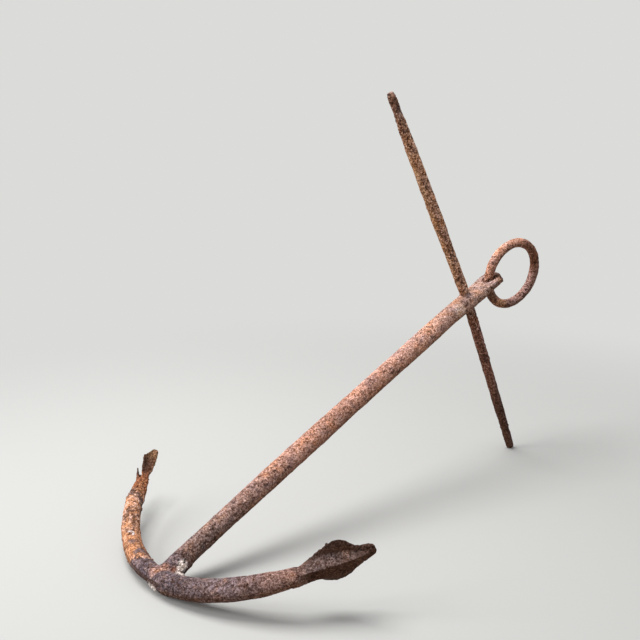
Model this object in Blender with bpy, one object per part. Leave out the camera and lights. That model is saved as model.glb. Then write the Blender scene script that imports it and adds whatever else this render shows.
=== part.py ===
"""A small hand-forged anchor of the admiralty pattern, rusted and with one palm mostly gone.

It stands the way it rests on a floor: on the outside of its arms near the crown and on the lower end of
its stock. Everything is laid out first in the anchor's own axes, which are X along the shank from crown
to head, Y across towards the far arm and Z along the stock, and is then turned onto the floor.
"""

import math

import bmesh
import bpy
import numpy as np
from mathutils import Matrix, Vector

# Driving dimensions, in metres and degrees.
GAP = 0.0003  # left between pieces that are welded or rusted together

CROWN_RADIUS_NEAR = 0.1298  # radius of each arm's curve at the crown, before it straightens out
CROWN_RADIUS_FAR = 0.1322
ARM_LENGTH_NEAR = 0.2188
ARM_LENGTH_FAR = 0.2325
ARM_TURN_NEAR = math.radians(58.1)  # how far each arm has turned by its tip
ARM_TURN_FAR = math.radians(57.5)

# Half sizes of the arms' bar: distance from the crown, across the anchor's plane, in its plane.
BAR_NEAR = [
    (0.000, 0.01120, 0.01110),
    (0.030, 0.01090, 0.01080),
    (0.060, 0.01075, 0.01070),
    (0.090, 0.01100, 0.01095),
    (0.106, 0.01090, 0.01080),
    (0.120, 0.01050, 0.01040),
    (0.136, 0.00940, 0.00930),
    (0.152, 0.00840, 0.00820),
    (0.167, 0.00680, 0.00680),
    (0.181, 0.00520, 0.00520),
    (0.194, 0.00390, 0.00350),
    (0.203, 0.00240, 0.00200),
]
BAR_FAR = [
    (0.000, 0.01120, 0.01110),
    (0.040, 0.01090, 0.01085),
    (0.070, 0.01020, 0.01020),
    (0.100, 0.00990, 0.00975),
    (0.144, 0.00980, 0.00890),
    (0.156, 0.00900, 0.00760),
    (0.168, 0.00730, 0.00560),
    (0.178, 0.00520, 0.00370),
    (0.186, 0.00280, 0.00200),
]

# The sound palm: distance from the crown, half width above and below, thickness.
PALM_NEAR = [
    (0.1547, 0.0046, 0.0050, 0.0030),
    (0.1586, 0.0071, 0.0085, 0.0042),
    (0.1635, 0.0103, 0.0136, 0.0050),
    (0.1694, 0.0156, 0.0194, 0.0054),
    (0.1753, 0.0200, 0.0234, 0.0056),
    (0.1821, 0.0233, 0.0256, 0.0057),
    (0.1890, 0.0244, 0.0263, 0.0058),
    (0.1949, 0.0232, 0.0252, 0.0058),
    (0.1998, 0.0190, 0.0228, 0.0060),
    (0.2029, 0.0140, 0.0190, 0.0063),
    (0.2056, 0.0100, 0.0146, 0.0068),
    (0.2096, 0.0094, 0.0114, 0.0074),
    (0.2145, 0.0084, 0.0098, 0.0073),
    (0.2189, 0.0068, 0.0080, 0.0066),
    (0.2223, 0.0056, 0.0058, 0.0054),
    (0.2248, 0.0028, 0.0030, 0.0036),
]
NEAR_BILL_SET_IN = 0.0042  # the bill's middle, inside the bar's middle line

# What is left of the other palm: distance, half width above and below, thickness, set in, twist.
PALM_FAR = [
    (0.1480, 0.0030, 0.0040, 0.0024, 0.0000, 0.0),
    (0.1529, 0.0058, 0.0066, 0.0032, 0.0000, 0.0),
    (0.1598, 0.0072, 0.0060, 0.0034, 0.0000, 0.0),
    (0.1667, 0.0058, 0.0066, 0.0034, 0.0000, -4.0),
    (0.1736, 0.0062, 0.0048, 0.0034, 0.0000, -8.0),
    (0.1805, 0.0048, 0.0040, 0.0036, 0.0000, -14.0),
    (0.1862, 0.0040, 0.0032, 0.0038, 0.0047, -20.0),
    (0.1909, 0.0040, 0.0030, 0.0042, 0.0020, -25.0),
    (0.1958, 0.0050, 0.0044, 0.0046, 0.0009, -28.0),
    (0.2012, 0.0070, 0.0060, 0.0048, 0.0003, -30.0),
    (0.2071, 0.0096, 0.0064, 0.0048, 0.0001, -30.0),
    (0.2111, 0.0098, 0.0060, 0.0046, 0.0001, -30.0),
    (0.2160, 0.0078, 0.0054, 0.0044, 0.0000, -30.0),
    (0.2229, 0.0063, 0.0045, 0.0040, 0.0000, -30.0),
    (0.2298, 0.0046, 0.0031, 0.0034, -0.0002, -30.0),
    (0.2348, 0.0032, 0.0018, 0.0028, -0.0004, -30.0),
    (0.2372, 0.0018, 0.0010, 0.0020, -0.0005, -30.0),
]

# The shank: distance from the crown, half width, half height, top and bottom of the hammered flats.
HEAD_TOP = 0.00275
HEAD_BOTTOM = -0.00675
EYE_END_RADIUS = 0.0153
EYE_END_X = 0.5605
SHANK = [
    (0.000, 0.0102, 0.0102, 0.0130, -0.0130),
    (0.035, 0.0101, 0.0102, 0.0130, -0.0130),
    (0.070, 0.0101, 0.0102, 0.0130, -0.0130),
    (0.110, 0.0104, 0.0104, 0.0130, -0.0130),
    (0.160, 0.0109, 0.0109, 0.0130, -0.0130),
    (0.220, 0.0111, 0.0110, 0.0130, -0.0130),
    (0.300, 0.0108, 0.0108, 0.0130, -0.0130),
    (0.360, 0.0109, 0.0110, 0.0130, -0.0130),
    (0.400, 0.0114, 0.0113, 0.0130, -0.0130),
    (0.450, 0.0113, 0.0112, 0.0130, -0.0130),
    (0.474, 0.0115, 0.0112, 0.0112, -0.0112),
    (0.490, 0.0120, 0.0112, 0.0093, -0.0105),
    (0.512, 0.0134, 0.0114, 0.0066, -0.0092),
    (0.530, 0.0144, 0.0116, 0.0044, -0.0079),
    (0.545, 0.0149, 0.0118, HEAD_TOP, HEAD_BOTTOM),
    (0.554, 0.0152, 0.0120, HEAD_TOP, HEAD_BOTTOM),
]
SHANK_BASE_SHIFT = -0.0030  # how far the shank leans towards the near arm where it meets the arms
SHANK_STRAIGHT_FROM = 0.250
EYE_X = 0.5588
EYE_HALF_LENGTH = 0.0088
EYE_HALF_WIDTH = 0.0079

STOCK_X = 0.5103
STOCK_HOLE_RADIUS = 0.0070
STOCK_UP = 0.2787
STOCK_DOWN = 0.2262
STOCK_LEAN_UP = (-0.0607, 0.0459)  # of the upper half, per unit of its height
STOCK_LEAN_DOWN = (-0.0245, -0.0436)
STOCK_BEND_HALF = 0.012  # half the length over which the stock bends
# Radius of the stock against distance from the shank, downwards negative.
STOCK = [
    (-0.2262, 0.0047),
    (-0.2232, 0.0050),
    (-0.2050, 0.0056),
    (-0.1700, 0.0061),
    (-0.1000, 0.0063),
    (-0.0400, 0.0065),
    (-0.0150, 0.0065),
    (-0.0060, 0.0065),
    (0.0000, 0.0065),
    (0.0060, 0.0065),
    (0.0150, 0.0065),
    (0.0400, 0.0066),
    (0.0750, 0.0068),
    (0.1050, 0.0073),
    (0.1550, 0.0071),
    (0.2000, 0.0067),
    (0.2350, 0.0063),
    (0.2480, 0.0055),
    (0.2560, 0.0048),
    (0.2660, 0.0052),
    (0.2745, 0.0049),
    (0.2787, 0.0034),
]

RING_RADIUS = 0.0412  # to the middle of the wire
RING_WIRE = 0.0060
RING_CENTRE = (0.5971, -0.0070, -0.0112)
RING_AXIS = (0.207, 0.972, 0.114)

SIDES_BAR = 20
SIDES_SHANK = 24
SIDES_PALM = 14
SIDES_STOCK = 16
SIDES_WIRE = 14
RING_STEPS = 44

# The anchor's downward direction, in its own axes, is near this one. The exact one is worked out.
NEAR_DOWN = (-math.sin(math.radians(23.2)), 0.042, -math.cos(math.radians(23.2)))

ALONG = Vector((1.0, 0.0, 0.0))
ACROSS = Vector((0.0, 1.0, 0.0))
STOCKWISE = Vector((0.0, 0.0, 1.0))


def clear_scene():
    for obj in list(bpy.data.objects):
        bpy.data.objects.remove(obj)


def table(rows, at):
    """Every column of a table after the first, read at one place along it."""
    stations = [row[0] for row in rows]
    return [float(np.interp(at, stations, [row[i] for row in rows])) for i in range(1, len(rows[0]))]


class Arm:
    """The middle line of one arm, whose curve is tightest at the crown and eases towards the tip."""

    def __init__(self, side, radius, length, turn):
        self.side = side
        self.start = 1.0 / radius
        self.change = 2.0 * (turn - self.start * length) / length**2
        self.walk = np.linspace(0.0, length * 1.05, 600)
        heading = self.start * self.walk + self.change * self.walk**2 / 2
        step = self.walk[1] - self.walk[0]
        middle = (heading[1:] + heading[:-1]) / 2
        self.x = np.concatenate([[0.0], np.cumsum(np.sin(middle)) * step])
        self.y = np.concatenate([[0.0], np.cumsum(np.cos(middle)) * step]) * side

    def place(self, s):
        return Vector((float(np.interp(s, self.walk, self.x)), float(np.interp(s, self.walk, self.y)), 0.0))

    def inward(self, s):
        heading = self.start * s + self.change * s**2 / 2
        return Vector((math.cos(heading), -self.side * math.sin(heading), 0.0))


def oval(centre, one, other, half_one, half_other, sides):
    """Points round an oval."""
    points = []
    for i in range(sides):
        turn = 2.0 * math.pi * (i + 0.5) / sides
        points.append(centre + one * (half_one * math.cos(turn)) + other * (half_other * math.sin(turn)))
    return points


def loft(name, rings, closed=False):
    """A closed skin through rings of equal count, capped at both ends unless it runs round on itself."""
    mesh = bmesh.new()
    rows = [[mesh.verts.new(point) for point in ring] for ring in rings]
    pairs = list(zip(rows, rows[1:] + rows[:1])) if closed else list(zip(rows, rows[1:]))
    for row, after in pairs:
        for i in range(len(row)):
            j = (i + 1) % len(row)
            mesh.faces.new((row[i], row[j], after[j], after[i]))
    if not closed:
        mesh.faces.new(rows[0])
        mesh.faces.new(rows[-1])
    bmesh.ops.recalc_face_normals(mesh, faces=mesh.faces)
    data = bpy.data.meshes.new(name)
    mesh.to_mesh(data)
    mesh.free()
    obj = bpy.data.objects.new(name, data)
    bpy.context.scene.collection.objects.link(obj)
    return obj


def cut(obj, cutters):
    """Takes the cutters out of the object and leaves a plain mesh."""
    for cutter in cutters:
        modifier = obj.modifiers.new("cut", "BOOLEAN")
        modifier.operation = "DIFFERENCE"
        modifier.solver = "EXACT"
        modifier.object = cutter
    bpy.context.view_layer.update()
    graph = bpy.context.evaluated_depsgraph_get()
    data = bpy.data.meshes.new_from_object(obj.evaluated_get(graph))
    obj.modifiers.clear()
    obj.data = data
    for cutter in cutters:
        bpy.data.objects.remove(cutter)


def arm_sections(near, far, grow):
    """Rings along the arms' bar, from the near tip through the crown to the far tip."""
    stations = [-row[0] for row in reversed(BAR_NEAR[1:])]
    stations += [-0.075, -0.050, -0.040, -0.018, -0.007]
    stations += [0.004, 0.0145, 0.025, 0.032, 0.050, 0.060, 0.085, 0.123]
    stations += [row[0] for row in BAR_FAR[1:]]
    rings = []
    for s in sorted(stations):
        arm, rows = (near, BAR_NEAR) if s < 0 else (far, BAR_FAR)
        wide, deep = table(rows, abs(s))
        rings.append(
            oval(arm.place(abs(s)), STOCKWISE, arm.inward(abs(s)), wide + grow, deep + grow, SIDES_BAR)
        )
    return rings


def palm_section(arm, s, up, down, thick, set_in, twist):
    """One ring of a palm: a flat oval whose two halves may differ in width."""
    inward = arm.inward(s)
    centre = arm.place(s) + inward * set_in
    turn = math.radians(twist)
    wide = STOCKWISE * math.cos(turn) + inward * math.sin(turn)
    deep = inward * math.cos(turn) - STOCKWISE * math.sin(turn)
    points = []
    for i in range(SIDES_PALM):
        angle = 2.0 * math.pi * i / SIDES_PALM
        reach = up if math.cos(angle) >= 0 else down
        c = math.copysign(abs(math.cos(angle)) ** 0.85, math.cos(angle))
        s_ = math.copysign(abs(math.sin(angle)) ** 0.70, math.sin(angle))
        points.append(centre + wide * (reach * c) + deep * (thick / 2 * s_))
    return points


def make_near_palm(near):
    end = BAR_NEAR[-1][0]
    rings = []
    for s, up, down, thick in PALM_NEAR:
        set_in = NEAR_BILL_SET_IN
        if s <= end:
            set_in = max(set_in, table(BAR_NEAR, s)[1] + GAP + thick / 2)
        rings.append(palm_section(near, s, up, down, thick, set_in, 0.0))
    return loft("near_palm", rings)


def make_far_palm(far):
    end = BAR_FAR[-1][0]
    rings = []
    for s, up, down, thick, set_in, twist in PALM_FAR:
        if s <= end:
            set_in = table(BAR_FAR, s)[1] + GAP + thick / 2
        rings.append(palm_section(far, s, up, down, thick, set_in, twist))
    return loft("far_palm", rings)


def shank_ring(x, wide, high, top, bottom):
    middle = 0.0 if top > high else (top + bottom) / 2
    bent = SHANK_BASE_SHIFT * max(0.0, 1.0 - x / SHANK_STRAIGHT_FROM) ** 2
    points = []
    for i in range(SIDES_SHANK):
        angle = 2.0 * math.pi * (i + 0.5) / SIDES_SHANK
        z = middle + high * math.sin(angle)
        points.append(Vector((x, wide * math.cos(angle) + bent, max(bottom, min(top, z)))))
    return points


def make_shank(near, far):
    rings = [shank_ring(*row) for row in SHANK]
    for turn in (0, 20, 38, 54, 68, 80):
        reach = EYE_END_RADIUS * math.sin(math.radians(turn))
        wide = EYE_END_RADIUS * math.cos(math.radians(turn))
        rings.append(shank_ring(EYE_END_X + reach, wide, SHANK[-1][2], HEAD_TOP, HEAD_BOTTOM))
    shank = loft("shank", rings)
    eye = loft(
        "eye_cutter",
        [oval(Vector((EYE_X, 0.0, z)), ALONG, ACROSS, EYE_HALF_LENGTH, EYE_HALF_WIDTH, 24) for z in (-0.02, 0.02)],
    )
    slant = Vector(
        (
            (STOCK_LEAN_UP[0] - STOCK_LEAN_DOWN[0]) / 2,
            (STOCK_LEAN_UP[1] - STOCK_LEAN_DOWN[1]) / 2,
            1.0,
        )
    )
    hole = loft(
        "stock_cutter",
        [
            oval(Vector((STOCK_X, 0.0, 0.0)) + slant * z, ALONG, ACROSS, STOCK_HOLE_RADIUS, STOCK_HOLE_RADIUS, 24)
            for z in (-0.03, 0.03)
        ],
    )
    saddle = loft("saddle_cutter", arm_sections(near, far, GAP))
    cut(shank, [eye, hole, saddle])
    return shank


def stock_middle(u):
    """The stock's middle line: two straight halves with a short bend between them where it is held."""
    lean = STOCK_LEAN_UP if u > 0 else STOCK_LEAN_DOWN
    reach = abs(u)
    if reach < STOCK_BEND_HALF:
        eased = reach / (2 * STOCK_BEND_HALF)
    else:
        eased = 1.0 - STOCK_BEND_HALF / (2 * reach)
    straight = (STOCK_LEAN_UP[1] - STOCK_LEAN_DOWN[1]) / 2 * u
    bent = lean[1] * reach - straight
    return Vector((STOCK_X + lean[0] * reach * eased, straight + bent * eased, u))


def make_stock():
    rings = []
    for u, radius in STOCK:
        lean = STOCK_LEAN_UP if u > 0 else STOCK_LEAN_DOWN
        way = Vector((lean[0], lean[1], 1.0 if u > 0 else -1.0)).normalized()
        if u <= 0:
            way = -way
        if abs(u) < STOCK_BEND_HALF:
            way = STOCKWISE.copy()
        one = ACROSS.cross(way).normalized()
        other = way.cross(one).normalized()
        rings.append(oval(stock_middle(u), one, other, radius, radius, SIDES_STOCK))
    return loft("stock", rings)


def make_ring():
    axis = Vector(RING_AXIS).normalized()
    one = axis.cross(STOCKWISE).normalized()
    other = axis.cross(one).normalized()
    rings = []
    for i in range(RING_STEPS):
        turn = 2.0 * math.pi * i / RING_STEPS
        out = one * math.cos(turn) + other * math.sin(turn)
        rings.append(oval(Vector(RING_CENTRE) + out * RING_RADIUS, out, axis, RING_WIRE, RING_WIRE, SIDES_WIRE))
    return loft("ring", rings, closed=True)


def weight_centre(objects):
    """Where the whole anchor balances, each piece being solid iron."""
    volume = 0.0
    moment = Vector((0.0, 0.0, 0.0))
    for obj in objects:
        mesh = bmesh.new()
        mesh.from_mesh(obj.data)
        bmesh.ops.triangulate(mesh, faces=mesh.faces)
        for face in mesh.faces:
            a, b, c = [vert.co for vert in face.verts]
            share = a.dot(b.cross(c)) / 6.0
            volume += share
            moment += (a + b + c) * (share / 4.0)
        mesh.free()
    return moment / volume


def resting_side(objects):
    """The outward direction of the flat that the anchor rests on, among those its weight keeps down."""
    centre = weight_centre(objects)
    hull = bmesh.new()
    for obj in objects:
        for vert in obj.data.vertices:
            hull.verts.new(vert.co)
    bmesh.ops.convex_hull(hull, input=hull.verts)
    wanted = Vector(NEAR_DOWN).normalized()
    best, best_fit = None, -1.0
    for face in hull.faces:
        corners = [vert.co for vert in face.verts]
        normal = (corners[1] - corners[0]).cross(corners[2] - corners[0]).normalized()
        if normal.dot(corners[0] - centre) < 0:
            normal = -normal
            corners.reverse()
        foot = centre + normal * normal.dot(corners[0] - centre)
        inside = all(
            (b - a).cross(foot - a).dot(normal) >= 0 for a, b in zip(corners, corners[1:] + corners[:1])
        )
        if inside and normal.dot(wanted) > best_fit:
            best, best_fit = normal.copy(), normal.dot(wanted)
    hull.free()
    return best


def stand(objects):
    """Turns the anchor onto its resting side, shank running towards +X, and centres it on the floor."""
    down = resting_side(objects)
    up = -down
    along = (ALONG - up * ALONG.dot(up)).normalized()
    across = up.cross(along)
    turn = Matrix((along, across, up)).to_4x4()
    for obj in objects:
        obj.data.transform(turn)
    spots = np.array([vert.co for obj in objects for vert in obj.data.vertices])
    low, high = spots.min(axis=0), spots.max(axis=0)
    shift = Matrix.Translation((-(low[0] + high[0]) / 2, -(low[1] + high[1]) / 2, -low[2]))
    for obj in objects:
        obj.data.transform(shift)
    rise = math.degrees(math.asin(turn.to_3x3().col[0].z))
    print(f"shank rises {rise:.2f} degrees, down in the anchor's axes is {tuple(round(c, 4) for c in down)}")
    print(f"placed by {tuple(round(c, 5) for c in (shift @ turn).col[3])}")
    for row in turn.to_3x3():
        print("turn", tuple(round(c, 6) for c in row))


def paint(obj, colour, roughness, metallic):
    material = bpy.data.materials.new(obj.name + "_iron")
    material.use_nodes = True
    shader = next(node for node in material.node_tree.nodes if node.type == "BSDF_PRINCIPLED")
    shader.inputs["Base Color"].default_value = (*colour, 1.0)
    shader.inputs["Roughness"].default_value = roughness
    shader.inputs["Metallic"].default_value = metallic
    obj.data.materials.clear()
    obj.data.materials.append(material)


def main():
    clear_scene()
    near = Arm(-1, CROWN_RADIUS_NEAR, ARM_LENGTH_NEAR, ARM_TURN_NEAR)
    far = Arm(1, CROWN_RADIUS_FAR, ARM_LENGTH_FAR, ARM_TURN_FAR)
    arms = loft("arms", arm_sections(near, far, 0.0))
    shank = make_shank(near, far)
    near_palm = make_near_palm(near)
    far_palm = make_far_palm(far)
    stock = make_stock()
    ring = make_ring()
    objects = [shank, arms, near_palm, far_palm, stock, ring]
    stand(objects)
    paint(shank, (0.19, 0.10, 0.07), 0.85, 0.1)
    paint(arms, (0.15, 0.085, 0.07), 0.85, 0.1)
    paint(near_palm, (0.10, 0.055, 0.045), 0.85, 0.1)
    paint(far_palm, (0.16, 0.07, 0.03), 0.9, 0.05)
    paint(stock, (0.17, 0.08, 0.04), 0.9, 0.05)
    paint(ring, (0.22, 0.12, 0.09), 0.85, 0.1)


main()
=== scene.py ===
"""A small rusted anchor of the admiralty pattern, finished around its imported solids.

The shank, the arms, the palms and the stock, which rust has seized in its hole, become one forging with
welds, dents, scale and pits, and are then parted again into their own pieces. The ring is weathered in
the same way. Flakes, scabs of rust, loose slivers and a pale crust lie on them. Places on the anchor are
given in its own axes: along the shank from the crown, across towards the torn palm, and stockwise.
"""

import math
from contextlib import contextmanager

import bmesh
import bpy
import numpy as np
from bpy.props import FloatProperty, FloatVectorProperty, IntProperty, PointerProperty
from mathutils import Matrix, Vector


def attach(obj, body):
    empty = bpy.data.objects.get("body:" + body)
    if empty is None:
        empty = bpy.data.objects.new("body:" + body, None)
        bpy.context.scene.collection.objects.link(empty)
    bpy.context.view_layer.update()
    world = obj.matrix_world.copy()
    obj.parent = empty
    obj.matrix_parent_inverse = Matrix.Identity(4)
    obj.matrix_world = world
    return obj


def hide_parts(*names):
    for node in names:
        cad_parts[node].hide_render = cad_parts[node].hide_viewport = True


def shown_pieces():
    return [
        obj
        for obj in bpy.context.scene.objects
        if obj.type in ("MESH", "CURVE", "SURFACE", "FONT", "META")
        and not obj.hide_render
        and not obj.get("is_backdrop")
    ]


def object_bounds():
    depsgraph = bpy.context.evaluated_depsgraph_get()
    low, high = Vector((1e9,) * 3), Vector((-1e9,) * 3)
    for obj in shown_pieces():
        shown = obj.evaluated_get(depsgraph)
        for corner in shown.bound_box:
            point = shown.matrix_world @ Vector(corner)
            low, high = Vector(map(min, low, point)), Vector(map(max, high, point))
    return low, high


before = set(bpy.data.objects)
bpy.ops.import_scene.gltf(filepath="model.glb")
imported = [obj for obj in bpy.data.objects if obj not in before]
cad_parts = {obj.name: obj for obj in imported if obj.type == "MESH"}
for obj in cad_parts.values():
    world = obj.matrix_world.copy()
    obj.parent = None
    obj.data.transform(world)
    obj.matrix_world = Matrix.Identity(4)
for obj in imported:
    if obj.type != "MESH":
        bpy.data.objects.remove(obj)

bl_info = {
    "name": "Rusted Anchor",
    "version": (1, 0, 0),
    "blender": (4, 5, 0),
    "location": "3D View > Sidebar > Anchor",
    "description": "Finishes a small forged anchor with rust, scale, pits and crust",
    "category": "Object",
}

CAD_LOW, CAD_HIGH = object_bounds()
BODY = "root"
FORGED_NODES = ("shank", "arms", "stock")
PALM_FROM = 0.150  # how far along either arm its palm is parted from it
SHANK_FROM = 0.046  # how far along the shank it is parted from the arms
STOCK_PARTS = (0.0135, -0.0175)  # stockwise, where the stock is parted from the shank on either side
WELD_OVERLAP = 0.0003  # the forged nodes are swollen by this to close their gaps, then shrunk back
STOCK_AT = 0.5103  # where the stock crosses the shank, along it
HEAD_FROM = 0.40  # past here along the shank lie only its head, the stock and the ring


# ---------------------------------------------------------------- the anchor's own axes


def node_points(name):
    return np.array([vertex.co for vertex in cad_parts[name].data.vertices])


def main_directions(points):
    """The directions in which the points spread, widest first."""
    return np.linalg.svd(points - points.mean(axis=0), full_matrices=False)[2]


class AnchorAxes:
    """The crown's middle, and the anchor's own directions, read from its solids."""

    def __init__(self):
        shank, arms, stock = (node_points(name) for name in ("shank", "arms", "stock"))
        stockwise = main_directions(arms)[2]
        self.stockwise = stockwise * np.sign(stockwise @ (stock.mean(axis=0) - arms.mean(axis=0)))
        along = main_directions(shank)[0]
        along = along * np.sign(along @ (shank.mean(axis=0) - arms.mean(axis=0)))
        along = along - self.stockwise * (along @ self.stockwise)
        self.along = along / np.linalg.norm(along)
        self.across = np.cross(self.stockwise, self.along)
        heights = arms @ self.stockwise
        self.bar_radius = (heights.max() - heights.min()) / 2
        head = shank[(shank @ self.along) > np.percentile(shank @ self.along, 70)].mean(axis=0)
        crown_at = (arms @ self.along).min() + self.bar_radius
        self.crown = head + self.along * (crown_at - head @ self.along)

    def place(self, along, across, stockwise):
        return Vector(self.crown + along * self.along + across * self.across + stockwise * self.stockwise)

    def turn(self, along, across, stockwise):
        return Vector(along * self.along + across * self.across + stockwise * self.stockwise)

    def read(self, points):
        """Each point's distance along, across and stockwise from the crown's middle."""
        away = points - self.crown
        return away @ self.along, away @ self.across, away @ self.stockwise


AXES = AnchorAxes()


def step(low, high, value):
    """0 below low, 1 above high and smooth between them, or the other way round where low is above high."""
    t = np.clip((value - low) / (high - low), 0.0, 1.0)
    return t * t * (3.0 - 2.0 * t)


class ArmLine:
    """The middle line of one arm, whose curve is tightest at the crown and eases towards the tip."""

    def __init__(self, side, radius, reach, turn):
        self.side = side
        self.bend = (1.0 / radius, 2.0 * (turn - reach / radius) / reach**2)
        self.walk = np.linspace(0.0, reach * 1.05, 121)
        heading = self.heading(self.walk)
        stride = self.walk[1] - self.walk[0]
        middle = (heading[1:] + heading[:-1]) / 2
        self.along = np.concatenate([[0.0], np.cumsum(np.sin(middle)) * stride])
        self.across = np.concatenate([[0.0], np.cumsum(np.cos(middle)) * stride]) * side

    def heading(self, s):
        return self.bend[0] * s + self.bend[1] * s**2 / 2

    def place(self, s, inward=0.0, stockwise=0.0):
        turn = self.heading(s)
        along = np.interp(s, self.walk, self.along) + inward * math.cos(turn)
        across = np.interp(s, self.walk, self.across) - inward * self.side * math.sin(turn)
        return AXES.place(along, across, stockwise)

    def onward(self, s):
        turn = self.heading(s)
        return AXES.turn(math.sin(turn), self.side * math.cos(turn), 0.0)

    def read(self, along, across):
        """How far along the arm each point is, and how far inside its middle line."""
        marks = slice(None, None, 3)  # every third step of the walk is near enough to measure from
        nearest = np.zeros(len(along))
        best = np.full(len(along), np.inf)
        for s, x, y in zip(self.walk[marks], self.along[marks], self.across[marks]):
            away = (along - x) ** 2 + (across - y) ** 2
            nearest = np.where(away < best, s, nearest)
            best = np.minimum(away, best)
        turn = self.heading(nearest)
        x = along - np.interp(nearest, self.walk, self.along)
        y = (across - np.interp(nearest, self.walk, self.across)) * self.side
        return nearest + x * np.sin(turn) + y * np.cos(turn), x * np.cos(turn) - y * np.sin(turn)


# Each arm's side, its radius at the crown, its length and how far it turns, as its solid has them.
NEAR_ARM = ArmLine(-1, 0.1298, 0.2188, math.radians(58.1))
FAR_ARM = ArmLine(1, 0.1322, 0.2325, math.radians(57.5))


# ---------------------------------------------------------------- settings


def length(name, description, default):
    return FloatProperty(name=name, description=description, default=default, unit="LENGTH", precision=5)


def number(name, description, default):
    return FloatProperty(name=name, description=description, default=default)


def angle(name, description, default):
    return FloatProperty(name=name, description=description, default=default, subtype="ANGLE")


def tint(name, description, default):
    return FloatVectorProperty(
        name=name, description=description, default=default, size=3, min=0.0, max=1.0, subtype="COLOR"
    )


class WearSettings:
    """What every weathered piece has, with the forging's own values."""

    voxel: length("Mesh Size", "Size of the finished mesh's faces", 0.00079)
    dent_depth: length("Dent Depth", "How far the hammer's dents go in and out", 0.00020)
    dent_size: length("Dent Size", "Distance between dents", 0.036)
    layer_depth: length("Scale Depth", "Thickness of one layer of rust scale", 0.00015)
    layer_size: length("Scale Size", "Width of the patches of scale", 0.0085)
    pit_depth: length("Pit Depth", "Depth of the rust pits", 0.00050)
    pit_size: length("Pit Size", "Distance between pits", 0.0040)
    seed: number("Seed", "Picks another pattern of wear", 3.0)


class ForgingSettings(WearSettings, bpy.types.PropertyGroup):
    crust_height: length("Crust Height", "How far the pale crust stands off the iron", 0.0024)
    weld_reach: length("Weld Reach", "How far up the shank its weld to the arms flares out", 0.022)
    weld_flare: length("Weld Flare", "How much wider the shank is at that weld", 0.0052)
    packing: length("Packing", "Height of the rust packed round the stock where it goes through", 0.0045)


class RingSettings(WearSettings, bpy.types.PropertyGroup):
    voxel: length("Mesh Size", "Size of the finished mesh's faces", 0.00060)
    dent_size: length("Dent Size", "Distance between dents", 0.024)
    layer_size: length("Scale Size", "Width of the patches of scale", 0.007)
    seed: number("Seed", "Picks another pattern of wear", 23.0)


class ScatterSettings(bpy.types.PropertyGroup):
    flakes_each: number("Flakes", "Flakes of rust on each square metre of iron", 16000.0)
    flake_size: length("Flake Size", "Middling width of a flake", 0.0030)
    scabs_each: number("Scabs", "Scabs of rust on each square metre round a seized joint", 300000.0)
    scab_size: length("Scab Size", "Middling width of a scab", 0.0021)
    crust_each: number("Crust Lumps", "Lumps on each square metre of crust", 500000.0)
    crust_size: length("Crust Lump Size", "Middling width of a lump of crust", 0.0017)
    seed: IntProperty(name="Seed", description="Picks another scatter", default=5)


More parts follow.
